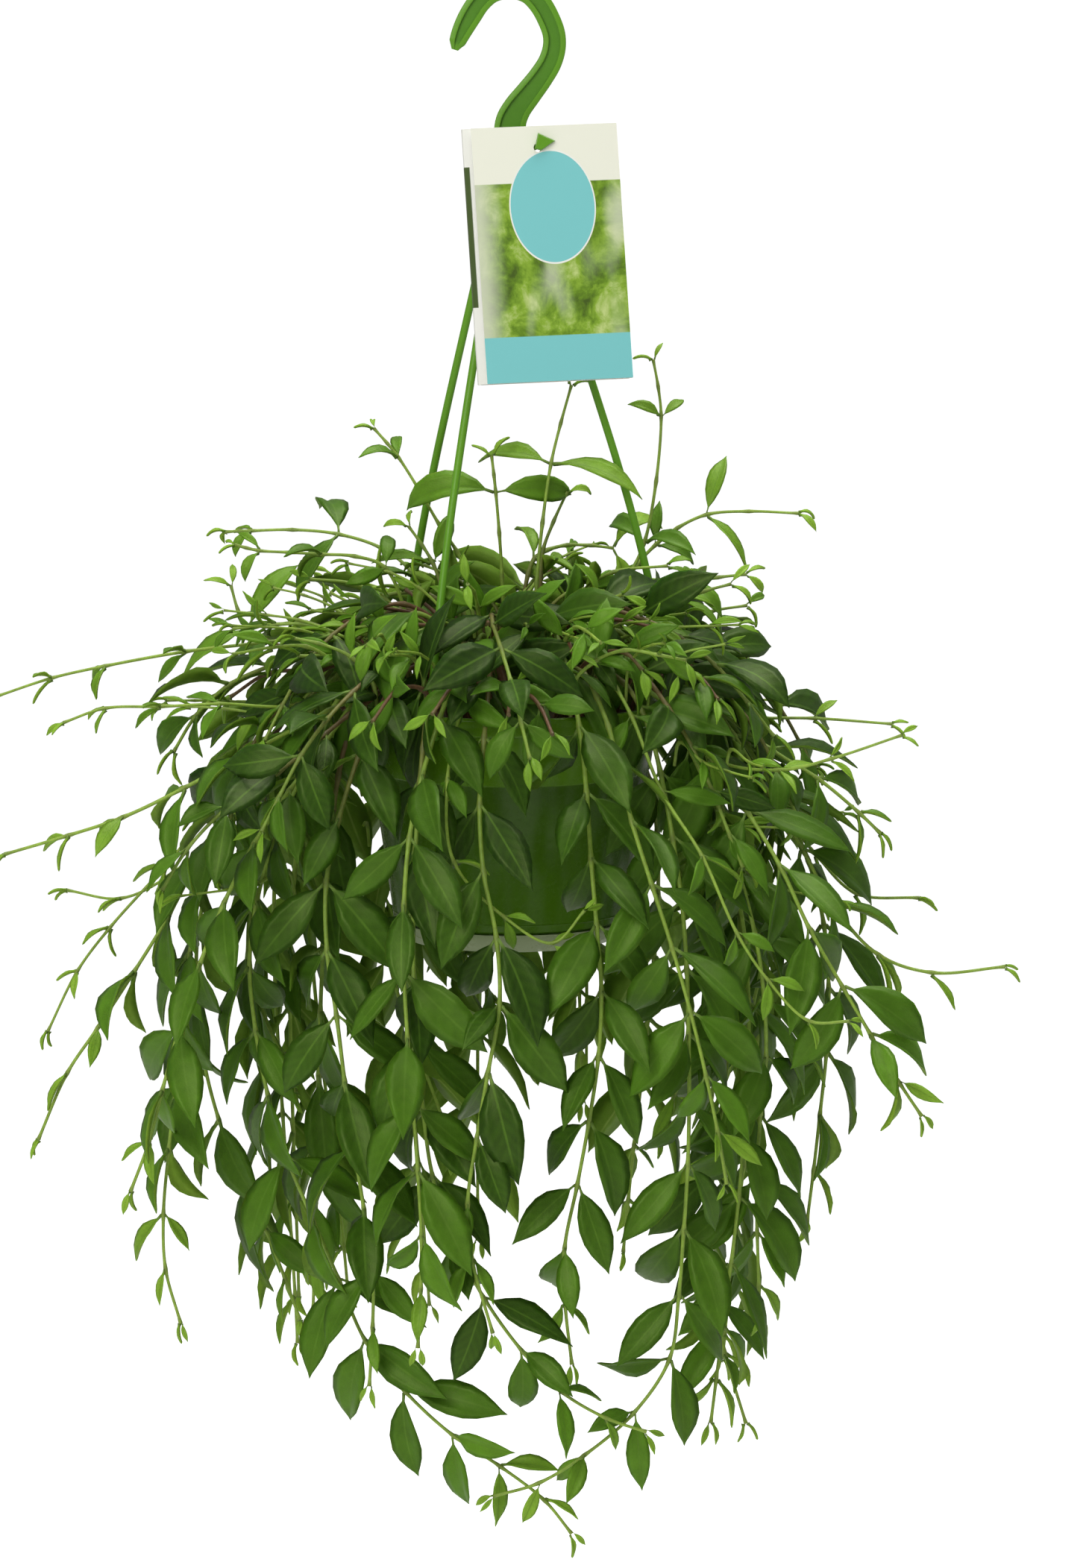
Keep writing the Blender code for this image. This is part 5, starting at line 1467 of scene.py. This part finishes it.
def build_pot(plastic):
    """The pot, with its foot, a fine ring above it, the thicker band and the rolled rim."""
    lip, floor = RIM_TOP - RIM_LIP, POT_BASE + POT_WALL
    ring = POT_BASE + 6.5
    outside = [(0, POT_BASE + 1.0), (POT_BASE_RADIUS - 8, POT_BASE + 1.0), (POT_BASE_RADIUS - 6, POT_BASE),
               (POT_BASE_RADIUS, POT_BASE), (wall_radius(POT_BASE + 3), POT_BASE + 3),
               (wall_radius(ring) - 0.05, ring - 0.35), (wall_radius(ring) + 0.28, ring),
               (wall_radius(ring) - 0.05, ring + 0.35), (wall_radius(-420), -420),
               (wall_radius(BAND_FOOT - 4), BAND_FOOT - 4),
               (wall_radius(BAND_FOOT), BAND_FOOT), (wall_radius(BAND_FOOT) + 0.6, BAND_FOOT + 0.3),
               (wall_radius(lip - 4) + 0.6, lip - 4), (wall_radius(lip) + 0.3, lip), (RIM_RADIUS - 0.8, lip),
               (RIM_RADIUS, lip + 0.8), (RIM_RADIUS - 0.25, RIM_TOP - 4.5), (RIM_RADIUS, RIM_TOP - 1.2),
               (RIM_RADIUS - 1.0, RIM_TOP), (WALL_TOP_RADIUS + 0.6, RIM_TOP),
               (WALL_TOP_RADIUS, RIM_TOP - 0.6)]
    inside = [(wall_radius(RIM_TOP - 3) - POT_WALL, RIM_TOP - 3),
              (wall_radius(floor + 3) - POT_WALL, floor + 3), (POT_BASE_RADIUS - POT_WALL, floor), (0, floor)]
    wall = turned(eased_profile(outside, 0.5) + inside, ROUND_STEPS)
    settle(shell("pot_moulding", *wall, plastic), "pot_plastic", "pot")


def build_saucer(plastic):
    """The shallow saucer that clips on under the pot."""
    ledge, low = POT_BASE - GAP, POT_BASE - SAUCER_DROP
    saucer = [(0, low), (SAUCER_BASE_RADIUS - 9, low), (SAUCER_BASE_RADIUS - 8, low + 0.5),
              (SAUCER_BASE_RADIUS - 5, low + 0.5), (SAUCER_BASE_RADIUS - 4, low), (SAUCER_BASE_RADIUS, low),
              (SAUCER_RADIUS - 1.6, POT_BASE - 0.6), (SAUCER_RADIUS, POT_BASE + 1.8),
              (SAUCER_RADIUS - SAUCER_WALL, POT_BASE + 1.8), (SAUCER_RADIUS - 2.7, ledge),
              (SAUCER_BASE_RADIUS + 0.4, ledge), (SAUCER_BASE_RADIUS - 1.5, low + SAUCER_WALL),
              (0, low + SAUCER_WALL)]
    dish = turned(eased_profile(saucer, 0.4), ROUND_STEPS)
    settle(shell("saucer_moulding", *dish, plastic), "saucer_plastic", "drip_saucer")


# --------------------------------------------------------------------- the card

CARD_ROWS = 17                   # of points down the card
PANEL_STEPS = 12                 # across each panel
BLANK = ((0.1, 0.1),) * 4        # where the cut edges lie on the print: the plain head


def fold_line():
    """The folded sheet seen from above: (x, y, is it the printed face, row, part of the width)."""
    half = CARD_WIDTH / 2
    pitch = CARD_SHEET + CARD_FOLD_GAP
    runs = [(-half, half, 1.0), (half, -half - 4, 0.0), (-half - 4, half - 1, 0.2),
            (half - 1, -half - 2, 0.0)]
    line = []
    for row, (start, end, panel) in enumerate(runs):
        for i in range(PANEL_STEPS + 1):
            t = i / PANEL_STEPS
            x = start + (end - start) * t
            bow = 0.25 * math.sin(math.pi * t) * (1 if row % 2 else -1)
            line.append((x, row * pitch + (bow if 0 < row < 3 else 0.0), panel, row, (x + half) / CARD_WIDTH))
    return line


def card_points(line):
    """The sheet's two faces, row by row from the top, in millimetres."""
    corners = []
    for i in range(len(line)):
        before, after = line[max(i - 1, 0)], line[min(i + 1, len(line) - 1)]
        along = Vector((after[0] - before[0], after[1] - before[1])).normalized()
        corners.append(Vector((-along.y, along.x)) * (CARD_SHEET / 2))
    place, points = card_place(), []
    for k in range(CARD_ROWS):
        z = CARD_HEIGHT * (0.5 - k / (CARD_ROWS - 1))
        for sign in (-1, 1):
            points += [place @ Vector((p[0] + sign * c.x, p[1] + sign * c.y, z))
                       for p, c in zip(line, corners)]
    return points


def card_faces(line):
    """The sheet's faces, each with its corners' places on the print and its panel's mark."""
    n, faces = len(line), []

    def spot(i, k):
        return line[i][4], k / (CARD_ROWS - 1)

    for k in range(CARD_ROWS - 1):
        for i in range(n - 1):
            for sign in (0, 1):
                a, b = (2 * k + sign) * n + i, (2 * k + 2 + sign) * n + i
                front = sign == 0 and line[i][3] == 0 and line[i + 1][3] == 0
                spots = spot(i, k), spot(i, k + 1), spot(i + 1, k + 1), spot(i + 1, k)
                faces.append(((a, b, b + 1, a + 1), spots, line[i][2] if front else 0.0))
        for i in (0, n - 1):
            a, b = 2 * k * n + i, (2 * k + 1) * n + i
            faces.append(((a, b, b + 2 * n, a + 2 * n), BLANK, 0.0))
    for k in (0, CARD_ROWS - 1):
        for i in range(n - 1):
            a, b = 2 * k * n + i, (2 * k + 1) * n + i
            faces.append(((a, a + 1, b + 1, b), BLANK, 0.0))
    return faces


def build_card(board):
    """One long sheet folded to and fro into four panels, the two middle ones a little bowed, with its print
    laid out.
    """
    line = fold_line()
    faces, prints, panels = zip(*card_faces(line))
    mesh = bpy.data.meshes.new("folded_card")
    mesh.from_pydata([p * MM for p in card_points(line)], [], faces)
    laid = mesh.uv_layers.new(name="Print")
    laid.data.foreach_set("uv", np.array([uv for spots in prints for uv in spots], dtype=np.float32).ravel())
    marked = mesh.attributes.new("panel", "FLOAT", "FACE")
    marked.data.foreach_set("value", np.array(panels, dtype=np.float32))
    work = bmesh.new()
    work.from_mesh(mesh)
    bmesh.ops.recalc_face_normals(work, faces=work.faces)
    work.to_mesh(mesh)
    work.free()
    mesh.materials.append(board)
    card = placed("folded_card", mesh)
    hole, through = card_hole(), card_place().to_3x3() @ Vector((0, 1, 0))
    rod = round_tube([hole - through * 6, hole + through * 12], CARD_HOLE_RADIUS, 20)
    punch = shell("punch", *rod, board)
    step = card.modifiers.new("punch", "BOOLEAN")
    step.operation, step.object, step.solver = "DIFFERENCE", punch, "EXACT"
    finished(card, 30)
    bpy.data.objects.remove(punch, do_unlink=True)
    settle(card, "card", "tag_card")


# --------------------------------------------------------------- stage and light

FLOOR_HEIGHT = -1.05             # metres, as is the rest of the stage
FLOOR_RADIUS = 40.0
LAMP_COLOUR = (1.0, 1.0, 0.90)
LAMPS = {                        # size, power, place, and where it points
    "front_lamp": (1.5, 29.0, (-0.9, -1.9, 0.75), (0.0, 0.0, -0.40)),
    "top_lamp": (1.4, 25.0, (0.3, 0.2, 1.3), (0.0, 0.0, -0.35)),
}
CAMERA_AWAY = 4.0
CAMERA_PITCH = 8.0               # degrees, looking down
CAMERA_AIM = (0.0168, 0.0, -0.384)
SENSOR_WIDTH = 36.0
VIEW_SIZE = 0.770                # the height of the view where the plant hangs


def seen_and_lit(graph, light, seen):
    """A strength that is one number for the light a surface gives and another for the camera."""
    camera = graph.add("ShaderNodeLightPath").outputs["Is Camera Ray"]
    return graph.span(camera, 0.0, 1.0, light, seen, smooth=False)


def build_floor():
    """A wide pale floor under the plant."""
    work = bmesh.new()
    bmesh.ops.create_circle(work, cap_ends=True, radius=FLOOR_RADIUS, segments=64)
    mesh = bpy.data.meshes.new("floor")
    work.to_mesh(mesh)
    work.free()
    floor = placed("floor", mesh)
    floor.location = (0, 0, FLOOR_HEIGHT)
    made, graph, shader = new_finish("pale_floor")
    plain_values(shader, Base_Color=(0.92, 0.92, 0.91, 1.0), Roughness=0.95,
                 Emission_Color=(1.0, 1.0, 1.0, 1.0))
    graph.feed(shader.inputs["Emission Strength"], seen_and_lit(graph, 0.12, 0.86))
    mesh.materials.append(made)


def build_light():
    """Soft light all round, a broad lamp above the front and one overhead."""
    world = bpy.data.worlds.new("soft_room")
    world.use_nodes = True
    bpy.context.scene.world = world
    graph, sky = Graph(world.node_tree), world.node_tree.nodes["Background"]
    plain_values(sky, Color=(1.0, 1.0, 0.94, 1.0))
    graph.feed(sky.inputs["Strength"], seen_and_lit(graph, 0.23, 1.12))
    for name, (size, power, spot, aim) in LAMPS.items():
        lamp = bpy.data.lights.new(name, "AREA")
        lamp.shape, lamp.size, lamp.energy, lamp.color = "SQUARE", size, power, LAMP_COLOUR
        lit = placed(name, lamp)
        lit.location = spot
        lit.rotation_euler = (Vector(aim) - Vector(spot)).to_track_quat("-Z", "Y").to_euler()


def place_camera():
    """In front of the plant, above the pot's middle and looking slightly down."""
    pitch = math.radians(CAMERA_PITCH)
    camera = bpy.data.cameras.new("camera")
    camera.sensor_width = SENSOR_WIDTH
    camera.lens = SENSOR_WIDTH * CAMERA_AWAY / VIEW_SIZE
    camera.clip_end = 200.0
    held = placed("camera", camera)
    held.location = Vector(CAMERA_AIM) + Vector((0.0, -math.cos(pitch), math.sin(pitch))) * CAMERA_AWAY
    held.rotation_euler = (math.pi / 2 - pitch, 0.0, 0.0)
    bpy.context.scene.camera = held
    bpy.context.scene.view_settings.view_transform = "Standard"


def main():
    """The plant, the hanger, the pot and the card, and then the stage, the light and the camera."""
    mottle = mottle_group()
    green = hanger_finish(mottle)
    build_plant(mottle)
    build_hook(green)
    build_arms(green)
    build_pot(pot_finish(mottle))
    build_saucer(saucer_finish(mottle))
    build_card(card_finish())
    repaint("soil", soil_finish())
    repaint("tag_tie", green)
    build_floor()
    build_light()
    place_camera()


main()
